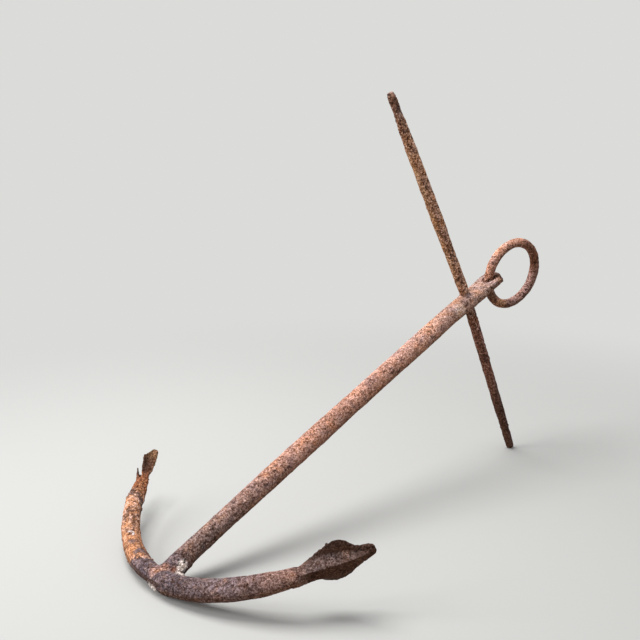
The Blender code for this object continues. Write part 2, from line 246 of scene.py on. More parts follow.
class RustColours(bpy.types.PropertyGroup):
    dark: tint("Dark", "Oldest rust, deep in the pits", (0.045, 0.017, 0.009))
    shank: tint("Shank", "Weathered rust of the shank", (0.490, 0.252, 0.182))
    shank_foot: tint("Shank Foot", "Rust of the shank near the crown", (0.215, 0.140, 0.122))
    head: tint("Head", "Rust of the head", (0.420, 0.265, 0.215))
    arms: tint("Arms", "Purple brown rust of the arms", (0.190, 0.133, 0.138))
    crown: tint("Crown", "Crown of the arms, which is greyest", (0.094, 0.071, 0.084))
    arm_end: tint("Arm's End", "Last stretch of the sound arm before its palm", (0.262, 0.142, 0.108))
    palm: tint("Palm", "Dark rust of the sound palm", (0.066, 0.034, 0.025))
    # Painted shade below the sound palm's rib.
    palm_under_shade: tint("Palm Underside", "Rust below the sound palm's rib", (0.052, 0.022, 0.013))
    # Painted light on top of the sound palm's rib.
    palm_rib_light: tint("Palm Rib", "Rust on top of the sound palm's rib", (0.150, 0.098, 0.088))
    shoulder: tint("Shoulder", "Where the torn arm thins to its neck", (0.190, 0.100, 0.070))
    neck: tint("Neck", "Thin neck below the torn palm's leaf", (0.300, 0.112, 0.052))
    leaf: tint("Leaf", "Outside of the torn palm's leaf", (0.088, 0.040, 0.025))
    # Painted shade on the shadowed side of the torn palm's folded leaf.
    leaf_tip: tint("Leaf Tip", "Tan rust at the torn palm's tip", (0.340, 0.178, 0.092))
    # Painted light on the lit side of that fold.
    leaf_lit_side: tint("Leaf Edge", "Rust of the torn palm's folded edge", (0.300, 0.150, 0.088))
    crook: tint("Crook", "Bright rust in the crook of the crown", (0.240, 0.125, 0.100))
    patch: tint("Crown Patches", "Orange brown patches on the crown", (0.240, 0.098, 0.054))
    torn_palm: tint("Torn Palm", "Rust of the torn palm", (0.125, 0.048, 0.026))
    stock: tint("Stock", "Rust of the stock", (0.680, 0.375, 0.235))
    # Painted light on the side of the stock that faces the left lamp.
    stock_lit_side: tint("Stock's Edge", "Yellowish side of the stock", (1.000, 0.640, 0.390))
    low_stock: tint("Lower Stock", "Rust of the stock below the shank", (0.305, 0.137, 0.104))
    stock_foot: tint("Stock Foot", "Rust near the foot of the stock", (0.112, 0.061, 0.051))
    # Rust of the ring, lighter as painted light on its upper half.
    ring: tint("Ring", "Rust of the ring", (0.560, 0.290, 0.205))
    # Painted shade on the eye's near limb, and on the ring where it meets that limb.
    limb: tint("Eye's Limb", "Dark side of the eye's near limb", (0.170, 0.090, 0.066))
    # Painted highlight on the head's ridge beside the stock.
    highlit: tint("Highlit", "Where the head is rubbed pale", (0.820, 0.610, 0.520))
    ring_side: tint("Ring's Side", "Deep rust on the side of the ring", (0.330, 0.140, 0.075))
    ring_foot: tint("Ring's Foot", "Yellowish rust at the foot of the ring", (0.760, 0.390, 0.215))
    # Painted shade on the ring's lower half.
    low_ring: tint("Lower Ring", "Rust of the ring's lower half", (0.380, 0.215, 0.180))
    bloom: tint("Bloom", "Pinkish bloom where scale has gone", (0.640, 0.420, 0.345))
    fresh: tint("Fresh Rust", "Bright orange rust", (0.560, 0.250, 0.120))
    # Dark orange brown: a rust colour in patches of the fresh rust, and the colour of painted shade on
    # undersides, under the shank and where the ring goes through the eye.
    shade_brown: tint("Sheltered Rust", "Orange brown rust underneath", (0.110, 0.044, 0.020))
    crust: tint("Crust", "Pale crust", (1.000, 0.880, 0.810))


class StageSettings(bpy.types.PropertyGroup):
    bearing: angle(
        "Camera Bearing", "Direction of view, turned from the frame's +Y towards +X", math.radians(44.35)
    )
    pitch: angle("Camera Pitch", "How far the view looks down", math.radians(13.07))
    distance: length("Camera Distance", "From the anchor's middle back to the camera", 1.0057)
    aside: length("Camera Aside", "How far the camera stands to the left of the anchor's middle", 0.0532)
    height: length("Camera Height", "Above the floor", 0.4469)
    lens: number("Lens", "Focal length in millimetres", 51.98)
    floor: tint("Floor", "Plain floor", (0.52, 0.52, 0.505))
    backdrop: tint("Backdrop", "Plain backdrop that the floor fades into", (0.71, 0.71, 0.695))
    key: number("Overhead Light", "Power of the soft lamp overhead, in watts", 37.0)
    side: number("Side Light", "Power of the soft lamp on the left, in watts", 26.0)
    sky: number("Sky", "Strength of the even light all round", 0.36)


class AnchorSettings(bpy.types.PropertyGroup):
    forging: PointerProperty(type=ForgingSettings)
    ring: PointerProperty(type=RingSettings)
    scatter: PointerProperty(type=ScatterSettings)
    colours: PointerProperty(type=RustColours)
    stage: PointerProperty(type=StageSettings)


# ---------------------------------------------------------------- node trees


def add(tree, kind, feeds=None, **settings):
    """Adds a node. Each of feeds is a socket's value, or the socket that feeds it, by name or number."""
    made = tree.nodes.new(kind)
    for name, value in settings.items():
        setattr(made, name, value)
    for key, value in (feeds or {}).items():
        if isinstance(value, bpy.types.NodeSocket):
            tree.links.new(value, made.inputs[key])
        else:
            made.inputs[key].default_value = value
    return made


def node_of(tree, kind):
    """The node of this kind that a new tree starts with."""
    return next(node for node in tree.nodes if node.type == kind)


def calc(tree, operation, one, other):
    return add(tree, "ShaderNodeMath", {0: one, 1: other}, operation=operation).outputs[0]


def times(tree, product, *factors):
    for factor in factors:
        product = calc(tree, "MULTIPLY", product, factor)
    return product


def plus(tree, total, *terms):
    for term in terms:
        total = calc(tree, "ADD", total, term)
    return total


def vector(tree, operation, one, other):
    """A vector calculation, where SCALE takes a number as its second value."""
    feeds = {0: one, ("Scale" if operation == "SCALE" else 1): other}
    return add(tree, "ShaderNodeVectorMath", feeds, operation=operation).outputs[0]


def ramp(tree, value, low, high, start=0.0, end=1.0):
    """Value read from low..high as start..end, smoothly and no further."""
    feeds = {"Value": value, "From Min": low, "From Max": high, "To Min": start, "To Max": end}
    return add(tree, "ShaderNodeMapRange", feeds, interpolation_type="SMOOTHSTEP").outputs[0]


def cloud(tree, where, size, seed, detail=2.0, roughness=0.5):
    """Noise whose lumps lie about size apart, size and seed being values or sockets."""
    scale = calc(tree, "DIVIDE", 1.0, size)
    feeds = {"Vector": where, "W": seed, "Scale": scale, "Detail": detail, "Roughness": roughness}
    return add(tree, "ShaderNodeTexNoise", feeds, noise_dimensions="4D").outputs[0]


def new_tree(name, kind, inputs, outputs):
    """An empty node group with these sockets, its input's sockets and its output node."""
    tree = bpy.data.node_groups.new(name, kind)
    for way, sockets in (("INPUT", inputs), ("OUTPUT", outputs)):
        for label, socket_type, value in sockets:
            socket = tree.interface.new_socket(label, in_out=way, socket_type="NodeSocket" + socket_type)
            if value is not None:
                socket.default_value = value
    return tree, tree.nodes.new("NodeGroupInput").outputs, tree.nodes.new("NodeGroupOutput")


def zone(tree, name):
    """A mesh attribute, as Geometry Nodes read it."""
    return add(tree, "GeometryNodeInputNamedAttribute", {"Name": name}, data_type="FLOAT").outputs[0]


def store(tree, geometry, name, value):
    feeds = {"Geometry": geometry, "Name": name, "Value": value}
    return add(tree, "GeometryNodeStoreNamedAttribute", feeds, data_type="FLOAT", domain="POINT").outputs[0]


def finish_tree(tree, geometry, material, output):
    """Ends a tree the way the finished piece needs it: plain, smooth and with its material."""
    smooth = add(tree, "GeometryNodeSetShadeSmooth", {"Geometry": geometry})
    plain = add(tree, "GeometryNodeRealizeInstances", {"Geometry": smooth.outputs[0]})
    painted = add(tree, "GeometryNodeSetMaterial", {"Geometry": plain.outputs[0], "Material": material})
    tree.links.new(painted.outputs[0], output.inputs[0])


SEED_STEP = 7.3  # between the patterns of one piece, so that they don't line up
LAYER_EDGES = ((0.47, 0.50), (0.56, 0.585), (0.64, 0.66))  # noise at which each layer of scale steps up
PITTED_AREA = 0.030  # how wide the areas with more and with fewer pits are
CRUST_GRAIN = 0.0032  # how far apart the crust's lumps lie
CRUST_EDGE = 0.0065  # how wide the bites are that make the crust's edge ragged


def weathering_tree():
    """Dents, layers of scale, pits and crust, from the surface's own place and its zones."""
    name = "Weathered Iron"
    if name in bpy.data.node_groups:
        return bpy.data.node_groups[name]
    sizes = ("Dent Depth", "Dent Size", "Scale Depth", "Scale Size", "Pit Depth", "Pit Size")
    inputs = [("Geometry", "Geometry", None)]
    inputs += [(label, "Float", 0.001) for label in sizes]
    inputs += [("Crust Height", "Float", 0.0), ("Shrink", "Float", 0.0), ("Seed", "Float", 0.0)]
    inputs += [("Material", "Material", None)]
    tree, given, output = new_tree(name, "GeometryNodeTree", inputs, [("Geometry", "Geometry", None)])
    where = add(tree, "GeometryNodeInputPosition").outputs[0]
    normal = add(tree, "GeometryNodeInputNormal").outputs[0]
    seeds = [plus(tree, given["Seed"], SEED_STEP * i) for i in range(6)]
    rot = zone(tree, "rot")
    crust = zone(tree, "crust")
    pitted = zone(tree, "pitted")

    dents = cloud(tree, where, given["Dent Size"], seeds[0], 2.0)
    dents = times(tree, ramp(tree, dents, 0.30, 0.70, -1.0, 1.0), given["Dent Depth"])

    patches = cloud(tree, where, given["Scale Size"], seeds[1], 4.0, 0.55)
    patches = plus(tree, patches, times(tree, rot, 0.03))
    layers = plus(tree, *(ramp(tree, patches, low, high) for low, high in LAYER_EDGES))
    worse = add(tree, "ShaderNodeMath", {0: rot, 1: 1.1, 2: 1.0}, operation="MULTIPLY_ADD").outputs[0]
    lift = times(tree, calc(tree, "SUBTRACT", layers, 1.0), given["Scale Depth"], worse)

    holes = cloud(tree, where, given["Pit Size"], seeds[2], 3.0, 0.6)
    many = cloud(tree, where, PITTED_AREA, seeds[3], 2.0)
    holes = plus(tree, holes, ramp(tree, many, 0.3, 0.7, -0.07, 0.07), times(tree, pitted, 0.07))
    pits = ramp(tree, holes, 0.56, 0.66)
    sink = times(tree, pits, given["Pit Depth"], worse)

    lumps = ramp(tree, cloud(tree, where, CRUST_GRAIN, seeds[4], 3.0, 0.6), 0.38, 0.62, 0.15, 1.0)
    ragged = ramp(tree, cloud(tree, where, CRUST_EDGE, seeds[5], 3.0, 0.6), 0.38, 0.50)
    crust = times(tree, crust, ragged)
    crust_lift = times(tree, lumps, crust, given["Crust Height"])

    height = plus(tree, dents, lift, calc(tree, "SUBTRACT", crust_lift, sink))
    height = calc(tree, "SUBTRACT", height, given["Shrink"])
    offset = vector(tree, "SCALE", normal, height)

    # Painted shade: how far each face turns downwards, for the material to darken it.
    facing = add(tree, "ShaderNodeSeparateXYZ", {0: normal}).outputs[2]
    geometry = store(tree, given["Geometry"], "pits", pits)
    geometry = store(tree, geometry, "crusted", crust)
    geometry = store(tree, geometry, "sheltered", ramp(tree, facing, 0.32, -0.44))
    geometry = add(tree, "GeometryNodeSetPosition", {"Geometry": geometry, "Offset": offset}).outputs[0]
    finish_tree(tree, geometry, given["Material"], output)
    return tree


PLATE_SUNK = -0.55  # how deep a plate's middle lies under the surface, for each unit of its thickness


def scatter_tree():
    """Small plates strewn over a surface where its zone asks for them, each one a little different."""
    name = "Strewn Plates"
    if name in bpy.data.node_groups:
        return bpy.data.node_groups[name]
    inputs = [
        ("Geometry", "Geometry", None),
        ("Zone", "String", "everywhere"),
        ("Each Square Metre", "Float", 1000.0),
        ("Size", "Float", 0.002),
        ("Thickness", "Float", 0.3),
        ("Tilt", "Float", 0.2),
        ("Seed", "Int", 0),
        ("Material", "Material", None),
    ]
    tree, given, output = new_tree(name, "GeometryNodeTree", inputs, [("Geometry", "Geometry", None)])
    wanted = times(tree, zone(tree, given["Zone"]), given["Each Square Metre"])
    feeds = {"Mesh": given["Geometry"], "Density": wanted, "Seed": given["Seed"]}
    strewn = add(tree, "GeometryNodeDistributePointsOnFaces", feeds, distribute_method="RANDOM")

    feeds = {"Vertices": 8, "Radius Top": 0.34, "Radius Bottom": 0.5, "Depth": 1.0}
    plate = add(tree, "GeometryNodeMeshCone", feeds).outputs["Mesh"]
    feeds = {"Geometry": plate, "Translation": (0.0, 0.0, PLATE_SUNK)}
    down = add(tree, "GeometryNodeTransform", feeds).outputs[0]
    tilt = given["Tilt"]
    lean = add(tree, "ShaderNodeCombineXYZ", {0: tilt, 1: tilt, 2: math.pi}).outputs[0]
    other = vector(tree, "SCALE", lean, -1.0)
    spin = add(tree, "FunctionNodeRandomValue", {"Seed": given["Seed"]}, data_type="FLOAT_VECTOR")
    tree.links.new(other, spin.inputs[0])
    tree.links.new(lean, spin.inputs[1])
    feeds = {"Rotation": strewn.outputs["Rotation"], "Rotate By": spin.outputs[0]}
    turned = add(tree, "FunctionNodeRotateRotation", feeds, rotation_space="LOCAL").outputs[0]
    big = add(tree, "FunctionNodeRandomValue", {"Seed": 3, 2: 0.4, 3: 1.7}, data_type="FLOAT").outputs[1]
    slim = add(tree, "FunctionNodeRandomValue", {"Seed": 9, 2: 0.5, 3: 1.0}, data_type="FLOAT").outputs[1]
    wide = times(tree, big, given["Size"])
    sides = {0: wide, 1: times(tree, wide, slim), 2: times(tree, wide, given["Thickness"])}
    sizes = add(tree, "ShaderNodeCombineXYZ", sides).outputs[0]
    feeds = {"Points": strewn.outputs["Points"], "Instance": down, "Rotation": turned, "Scale": sizes}
    plates = add(tree, "GeometryNodeInstanceOnPoints", feeds).outputs[0]
    plates = add(tree, "GeometryNodeRealizeInstances", {"Geometry": plates}).outputs[0]

    where = add(tree, "GeometryNodeInputPosition").outputs[0]
    feeds = {"Vector": where, "Scale": 520.0, "Detail": 2.0}
    ragged = add(tree, "ShaderNodeTexNoise", feeds).outputs["Color"]
    ragged = vector(tree, "SUBTRACT", ragged, (0.5, 0.5, 0.5))
    ragged = vector(tree, "SCALE", ragged, given["Size"])
    plates = add(tree, "GeometryNodeSetPosition", {"Geometry": plates, "Offset": ragged}).outputs[0]
    finish_tree(tree, plates, given["Material"], output)
    return tree


def grow(obj, tree, values):
    """Runs a Geometry Nodes tree on an object and keeps the plain mesh that it makes."""
    modifier = obj.modifiers.new(tree.name, "NODES")
    modifier.node_group = tree
    for item in tree.interface.items_tree:
        if item.item_type == "SOCKET" and item.in_out == "INPUT" and item.name in values:
            modifier[item.identifier] = values[item.name]
    settle(obj)


def settle(obj):
    """Replaces an object's mesh with what its modifiers make of it, and removes them."""
    bpy.context.view_layer.update()
    graph = bpy.context.evaluated_depsgraph_get()
    mesh = bpy.data.meshes.new_from_object(obj.evaluated_get(graph))
    obj.modifiers.clear()
    before = obj.data
    obj.data = mesh
    mesh.name = obj.name
    bpy.data.meshes.remove(before)


# ---------------------------------------------------------------- materials


# The rust's patterns: the size of their lumps, seed, detail and roughness.
BROAD = (0.050, 1.0, 3.0)
PATCH = (0.0160, 2.0, 4.0, 0.60)
MOTTLE = (0.0062, 3.0, 4.0, 0.62)
GRAIN = (0.0023, 4.0, 2.0, 0.60)
DUST = (0.0014, 5.0, 1.0, 0.60)

# What a colour's red, green and blue are multiplied by.
WARM = (1.18, 0.99, 0.78)
COLD = (0.70, 0.75, 0.87)
BLOOMED = (1.75, 1.80, 1.90)
# The next is painted shade, for faces turned downwards.
UNDERSIDE_SHADE = (0.37, 0.235, 0.12)
SPOTTED = (0.42, 0.32, 0.26)
FLECKED = (1.9, 1.9, 1.9)
DARK_DUST = (0.46, 0.37, 0.31)
LIGHT_DUST = (1.56, 1.64, 1.74)


def blend(tree, amount, one, other, kind="MIX"):
    made = add(tree, "ShaderNodeMix", data_type="RGBA", blend_type=kind, clamp_factor=True)
    for socket, value in ((made.inputs[0], amount), (made.inputs[6], one), (made.inputs[7], other)):
        if isinstance(value, bpy.types.NodeSocket):
            tree.links.new(value, socket)
        else:
            socket.default_value = value
    return made.outputs[2]


def shade(tree, colour, amount):
    grey = add(tree, "ShaderNodeCombineXYZ", {i: amount for i in range(3)}).outputs[0]
    return blend(tree, 1.0, colour, grey, "MULTIPLY")


def tinted(tree, colour, factors):
    """A colour with its red, green and blue each multiplied."""
    return vector(tree, "MULTIPLY", colour, factors)


def body_rust(tree, given, broad, patch):
    """The body colour with its broad shading and its warm and cold patches."""
    colour = shade(tree, given["Body"], ramp(tree, broad, 0.32, 0.68, 0.84, 1.14))
    patchy = ramp(tree, given["Bloom Amount"], 0.15, 0.60, 0.45, 1.0)
    warm = times(tree, ramp(tree, patch, 0.50, 0.62, 0.0, 0.85), patchy)
    colour = blend(tree, warm, colour, tinted(tree, given["Body"], WARM))
    cold = times(tree, ramp(tree, patch, 0.48, 0.37, 0.0, 0.85), patchy)
    return blend(tree, cold, colour, tinted(tree, given["Body"], COLD))


def fresh_rust(tree, given, colour, patch, mottle, grain):
    """Bright rust with ragged edges, milky where scale has bloomed."""
    edge = plus(tree, given["Fresh Amount"], ramp(tree, patch, 0.32, 0.68, -0.42, 0.42))
    edge = plus(tree, edge, ramp(tree, grain, 0.3, 0.7, -0.12, 0.12))
    milky = ramp(tree, given["Bloom Amount"], 0.04, 0.25)
    milky = times(tree, ramp(tree, mottle, 0.40, 0.62, 0.0, 0.60), milky)
    fresh = blend(tree, milky, given["Fresh"], given["Bloom"])
    fresh = blend(tree, ramp(tree, patch, 0.52, 0.40, 0.0, 0.62), fresh, given["Sheltered"])
    return blend(tree, ramp(tree, edge, 0.36, 0.62, 0.0, 0.95), colour, fresh)


def bloom_and_underside_shade(tree, given, colour, mottle):
    """Pale bloom on top, and painted shade underneath: a darker and browner rust colour on faces turned
    downwards.
    """
    bloomed = blend(tree, 0.45, tinted(tree, colour, BLOOMED), given["Bloom"])
    pale = times(tree, ramp(tree, mottle, 0.46, 0.68), given["Bloom Amount"])
    colour = blend(tree, pale, colour, bloomed)
    under = times(tree, given["Shelter"], ramp(tree, mottle, 0.30, 0.65, 0.62, 1.0), 0.96)
    underside = blend(tree, 0.5, tinted(tree, given["Body"], UNDERSIDE_SHADE), given["Sheltered"])
    return blend(tree, under, colour, underside)


def specks(tree, given, colour, mottle, grain):
    """Dark spots, light flecks and dark pits."""
    spots = times(tree, ramp(tree, grain, 0.48, 0.39), given["Speckle Amount"])
    spots = times(tree, spots, ramp(tree, mottle, 0.62, 0.42, 0.35, 1.0))
    spotted = blend(tree, 0.5, tinted(tree, colour, SPOTTED), given["Dark"])
    colour = blend(tree, spots, colour, spotted)
    flecks = times(tree, ramp(tree, grain, 0.54, 0.64), given["Bloom Amount"])
    flecks = times(tree, flecks, ramp(tree, mottle, 0.38, 0.58, 0.35, 1.0))
    flecked = blend(tree, 0.55, tinted(tree, colour, FLECKED), given["Bloom"])
    colour = blend(tree, flecks, colour, flecked)
    return blend(tree, times(tree, given["Pits"], 0.75), colour, given["Dark"])


def dust_and_crust(tree, given, colour, dust):
    """The finest grain, dark and light, and the pale crust over all."""
    colour = blend(tree, ramp(tree, dust, 0.50, 0.36), colour, tinted(tree, colour, DARK_DUST))
    colour = blend(tree, ramp(tree, dust, 0.50, 0.64), colour, tinted(tree, colour, LIGHT_DUST))
    chalk = shade(tree, given["Crust"], ramp(tree, dust, 0.36, 0.54, 0.62, 1.30))
    return blend(tree, times(tree, given["Crusted"], 0.97), colour, chalk)


def rust_group():
    """The colour, roughness and relief of rust, shared by every rusty material."""
    name = "Rust Coat"
    if name in bpy.data.node_groups:
        return bpy.data.node_groups[name]
    labels = ("Body", "Dark", "Bloom", "Fresh", "Sheltered", "Crust")
    inputs = [(label, "Color", (0.2, 0.1, 0.07, 1.0)) for label in labels]
    inputs += [(label, "Float", 0.0) for label in ("Bloom Amount", "Speckle Amount", "Fresh Amount")]
    # Besides pits and crust, the mesh gives the painted shade on faces turned downwards.
    inputs += [(label, "Float", 0.0) for label in ("Pits", "Shelter", "Crusted")]
    outputs = [("Color", "Color", None), ("Roughness", "Float", None), ("Height", "Float", None)]
    tree, given, output = new_tree(name, "ShaderNodeTree", inputs, outputs)
    where = add(tree, "ShaderNodeTexCoord").outputs["Object"]
    patterns = (BROAD, PATCH, MOTTLE, GRAIN, DUST)
    broad, patch, mottle, grain, dust = (cloud(tree, where, *pattern) for pattern in patterns)
    colour = body_rust(tree, given, broad, patch)
    colour = fresh_rust(tree, given, colour, patch, mottle, grain)
    colour = bloom_and_underside_shade(tree, given, colour, mottle)
    colour = specks(tree, given, colour, mottle, grain)
    colour = dust_and_crust(tree, given, colour, dust)
    relief = plus(tree, times(tree, grain, 0.9), times(tree, mottle, 0.8), times(tree, dust, 0.6))
    tree.links.new(colour, output.inputs["Color"])
    tree.links.new(ramp(tree, grain, 0.35, 0.65, 0.74, 0.92), output.inputs["Roughness"])
    tree.links.new(relief, output.inputs["Height"])
    return tree


def rust_material(name):
    """Rusted iron whose body colour, amounts of wear and painted shade on its undersides are read from the
    mesh's own zones.
    """
    if name in bpy.data.materials:
        return bpy.data.materials[name]
    colours = bpy.context.scene.anchor.colours
    material = bpy.data.materials.new(name)
    material.use_nodes = True
    tree = material.node_tree
    shader = node_of(tree, "BSDF_PRINCIPLED")
    coat = tree.nodes.new("ShaderNodeGroup")
    coat.node_tree = rust_group()
    picked = {
        "Dark": colours.dark,
        "Bloom": colours.bloom,
        "Fresh": colours.fresh,
        "Sheltered": colours.shade_brown,
        "Crust": colours.crust,
    }
    for label, value in picked.items():
        coat.inputs[label].default_value = (*value, 1.0)
    body = add(tree, "ShaderNodeAttribute", attribute_name="body")
    tree.links.new(body.outputs["Color"], coat.inputs["Body"])
    zones = {
        "Bloom Amount": "bloom",
        "Speckle Amount": "speckle",
        "Fresh Amount": "fresh",
        "Pits": "pits",
        "Shelter": "sheltered",
        "Crusted": "crusted",
    }
    for label, zone_name in zones.items():
        amount = add(tree, "ShaderNodeAttribute", attribute_name=zone_name)
        tree.links.new(amount.outputs["Fac"], coat.inputs[label])
    feeds = {"Height": coat.outputs["Height"], "Strength": 0.9, "Distance": 0.0013}
    bump = add(tree, "ShaderNodeBump", feeds)
    tree.links.new(coat.outputs["Color"], shader.inputs["Base Color"])
    tree.links.new(coat.outputs["Roughness"], shader.inputs["Roughness"])
    tree.links.new(bump.outputs["Normal"], shader.inputs["Normal"])
    shader.inputs["Metallic"].default_value = 0.0
    shader.inputs["Specular IOR Level"].default_value = 0.12
    return material


# ---------------------------------------------------------------- meshes


@contextmanager
def editing(data):
    """A mesh's bmesh, written back to the mesh at the end."""
    mesh = bmesh.new()
    mesh.from_mesh(data)
    yield mesh
    mesh.to_mesh(data)
    mesh.free()


CUT_TOLERANCE = 0.0000001


def cut(mesh, faces, place, way, clear=False):
    """Cuts these faces of a bmesh along a plane, and clears what lies past it if asked."""
    geometry = set(faces)
    geometry |= {edge for face in faces for edge in face.edges}
    geometry |= {vertex for face in faces for vertex in face.verts}
    bmesh.ops.bisect_plane(
        mesh, geom=list(geometry), dist=CUT_TOLERANCE, plane_co=place, plane_no=way, clear_outer=clear
    )


def close_to(mesh, place, reach):
    """The faces of a bmesh whose middles are nearer to a place than this."""
    return [face for face in mesh.faces if (face.calc_center_median() - place).length < reach]


def mesh_points(obj, kind="co"):
    points = np.empty(len(obj.data.vertices) * 3, np.float32)
    obj.data.vertices.foreach_get(kind, points)
    return points.reshape(-1, 3).astype(float)


def move_points(obj, points):
    obj.data.vertices.foreach_set("co", points.astype(np.float32).ravel())
    obj.data.update()


def new_object(name, mesh):
    obj = bpy.data.objects.new(name, mesh)
    bpy.context.scene.collection.objects.link(obj)
    return obj


def solid_copy(name, nodes, swell=0.0):
    """The named CAD nodes as one merged mesh, each swollen a little."""
    joined = bmesh.new()
    for node_name in nodes:
        part = bmesh.new()
        part.from_mesh(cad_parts[node_name].data)
        bmesh.ops.remove_doubles(part, verts=part.verts, dist=0.00001)
        bmesh.ops.recalc_face_normals(part, faces=part.faces)
        part.normal_update()
        for vertex in part.verts:
            vertex.co += vertex.normal * swell
        mesh = bpy.data.meshes.new(node_name)
        part.to_mesh(mesh)
        part.free()
        joined.from_mesh(mesh)
        bpy.data.meshes.remove(mesh)
    mesh = bpy.data.meshes.new(name)
    joined.to_mesh(mesh)
    joined.free()
    return mesh


def loft(mesh, rings):
    """Adds a closed skin through rings of points to a bmesh."""
    rows = [[mesh.verts.new(point) for point in ring] for ring in rings]
    faces = [mesh.faces.new(rows[0][::-1]), mesh.faces.new(rows[-1])]
    for row, after in zip(rows, rows[1:]):
        for i in range(len(row)):
            j = (i + 1) % len(row)
            faces.append(mesh.faces.new((row[i], row[j], after[j], after[i])))
    bmesh.ops.recalc_face_normals(mesh, faces=faces)


def oval(centre, one, other, half_one, half_other, sides):
    turns = [2.0 * math.pi * i / sides for i in range(sides)]
    return [centre + one * (half_one * math.cos(t)) + other * (half_other * math.sin(t)) for t in turns]


def add_shape(obj, rings):
    """Adds a closed loft to an object's mesh."""
    with editing(obj.data) as mesh:
        loft(mesh, rings)


WELD_STEPS = 8


def add_weld(obj, settings):
    """The shank's foot flaring out where it is forge welded to the arms."""
    bar = AXES.bar_radius
    across, stockwise = AXES.turn(0, 1, 0), AXES.turn(0, 0, 1)
    start, reach = bar * 0.3, bar * 0.6 + settings.weld_reach
    rings = []
    for rise in (i / WELD_STEPS for i in range(WELD_STEPS + 1)):
        flare = settings.weld_flare * (1.0 - rise) ** 2.2
        centre = AXES.place(start + reach * rise, -0.0024 * (1.0 - rise) - 0.001, 0.0)
        rings.append(oval(centre, across, stockwise, bar * 0.9 + flare, bar * 0.86, 24))
    add_shape(obj, rings)


# The sound palm, in millimetres: distance along the arm; how far in its blade lies and the blade's
# thickness; half widths up and down; then stockwise and inward the foot of its rib, the crest, the belly.
SOUND_PALM = [
    (142, 3.0, 10.0, 7.5, 7.5, 8.4, -1.0, 6.4, -5.4, -4.0, -7.4),
    (150, 5.0, 8.0, 7.5, 7.5, 8.2, 0.5, 6.6, -4.8, -4.2, -6.9),
    (155, 8.5, 5.6, 7.0, 8.0, 8.0, 2.0, 6.7, -4.5, -4.4, -6.0),
    (160, 10.0, 5.0, 9.0, 10.5, 8.8, 4.2, 6.2, -4.4, -5.0, -4.8),
    (165, 10.0, 4.8, 11.0, 15.5, 9.8, 6.0, 5.5, -4.3, -6.2, -3.2),
    (170, 9.5, 4.8, 14.0, 20.0, 10.6, 6.6, 4.7, -4.2, -7.7, -1.6),
    (175, 8.8, 4.8, 16.0, 22.5, 11.0, 6.2, 4.0, -4.1, -9.0, -0.4),
    (180, 8.3, 4.8, 18.5, 24.0, 10.6, 5.8, 3.5, -3.9, -9.0, 0.2),
    (188, 7.4, 4.8, 22.0, 23.0, 8.0, 5.0, 2.3, -3.7, -8.4, 0.4),
    (195, 6.5, 4.8, 21.5, 20.5, 7.0, 4.2, 1.7, -3.1, -7.4, 0.2),
    (200, 5.7, 5.0, 18.5, 16.5, 6.0, 3.2, 1.2, -2.8, -6.0, -0.2),
    (204, 4.8, 5.6, 13.0, 13.5, 5.4, 2.2, 0.8, -2.6, -5.0, -0.5),
    (207, 4.2, 6.2, 10.0, 12.0, 5.0, 1.2, 0.6, -2.6, -4.4, -0.8),
    (212, 4.2, 6.4, 8.0, 11.0, 4.4, 1.2, 0.6, -2.3, -4.0, -0.8),
    (218, 4.2, 6.0, 6.0, 9.0, 3.2, 1.2, 0.8, -2.0, -3.2, -0.7),
    (221, 4.2, 5.0, 4.0, 8.0, 2.2, 1.6, 0.6, -1.2, -2.6, -0.3),
    (223, 4.2, 3.0, 1.0, 5.0, 0.8, 2.8, 0.0, 1.0, -2.0, 1.2),
]
RIB_FOOT, RIB_CREST = 5, 7  # their columns there

# What is left of the other palm, in millimetres and degrees: distance along the arm; half widths up and
# down; thickness; how far in it lies; twist; and how deep its fold is.
TORN_PALM = [
    (144, 4.0, 4.5, 2.0, 6.4, 0, 0.0),
    (150, 6.0, 6.0, 2.8, 5.8, 0, 0.0),
    (160, 7.0, 5.5, 3.2, 5.2, 0, 0.3),
    (167, 6.5, 6.0, 3.2, 4.6, -4, 0.5),
    (174, 7.0, 4.5, 3.4, 4.0, -8, 0.5),
    (180, 7.5, 4.0, 3.6, 3.6, -14, 0.4),
    (186, 8.0, 3.0, 3.8, 2.8, -20, 0.5),
    (191, 9.0, 2.5, 3.8, 1.8, -25, 0.7),
    (195, 9.0, 3.0, 3.8, 1.0, -28, 0.9),
    (200, 9.0, 4.0, 3.6, 0.4, -30, 1.4),
    (205, 10.0, 5.0, 3.4, 0.1, -30, 1.9),
    (210, 11.0, 5.0, 3.2, 0.1, -30, 2.1),
    (214, 12.5, 4.5, 3.0, 0.0, -30, 2.1),
    (217, 13.0, 4.0, 2.8, 0.0, -30, 1.8),
    (220, 11.5, 4.0, 2.7, 0.0, -30, 1.6),
    (227, 8.5, 3.5, 2.6, -0.1, -30, 1.2),
    (233, 6.5, 2.0, 2.2, -0.3, -30, 0.5),
    (236, 4.5, 0.5, 1.8, -0.4, -30, 0.2),
]


PALM_REACH = 0.075  # how far the bar's faces past the cut may lie from it
CROWN_TO = 0.03  # faces nearer the crown than this, along the shank, are never cut with the arm


def cut_arm(obj, arm):
    """Takes away the bar past where its palm begins."""
    place = arm.place(PALM_FROM)
    with editing(obj.data) as mesh:
        near = close_to(mesh, place, PALM_REACH)
        near = [face for face in near if AXES.read(np.array(face.calc_center_median()))[0] > CROWN_TO]
        cut(mesh, near, place, arm.onward(PALM_FROM), clear=True)
        bmesh.ops.holes_fill(mesh, edges=[edge for edge in mesh.edges if edge.is_boundary], sides=0)


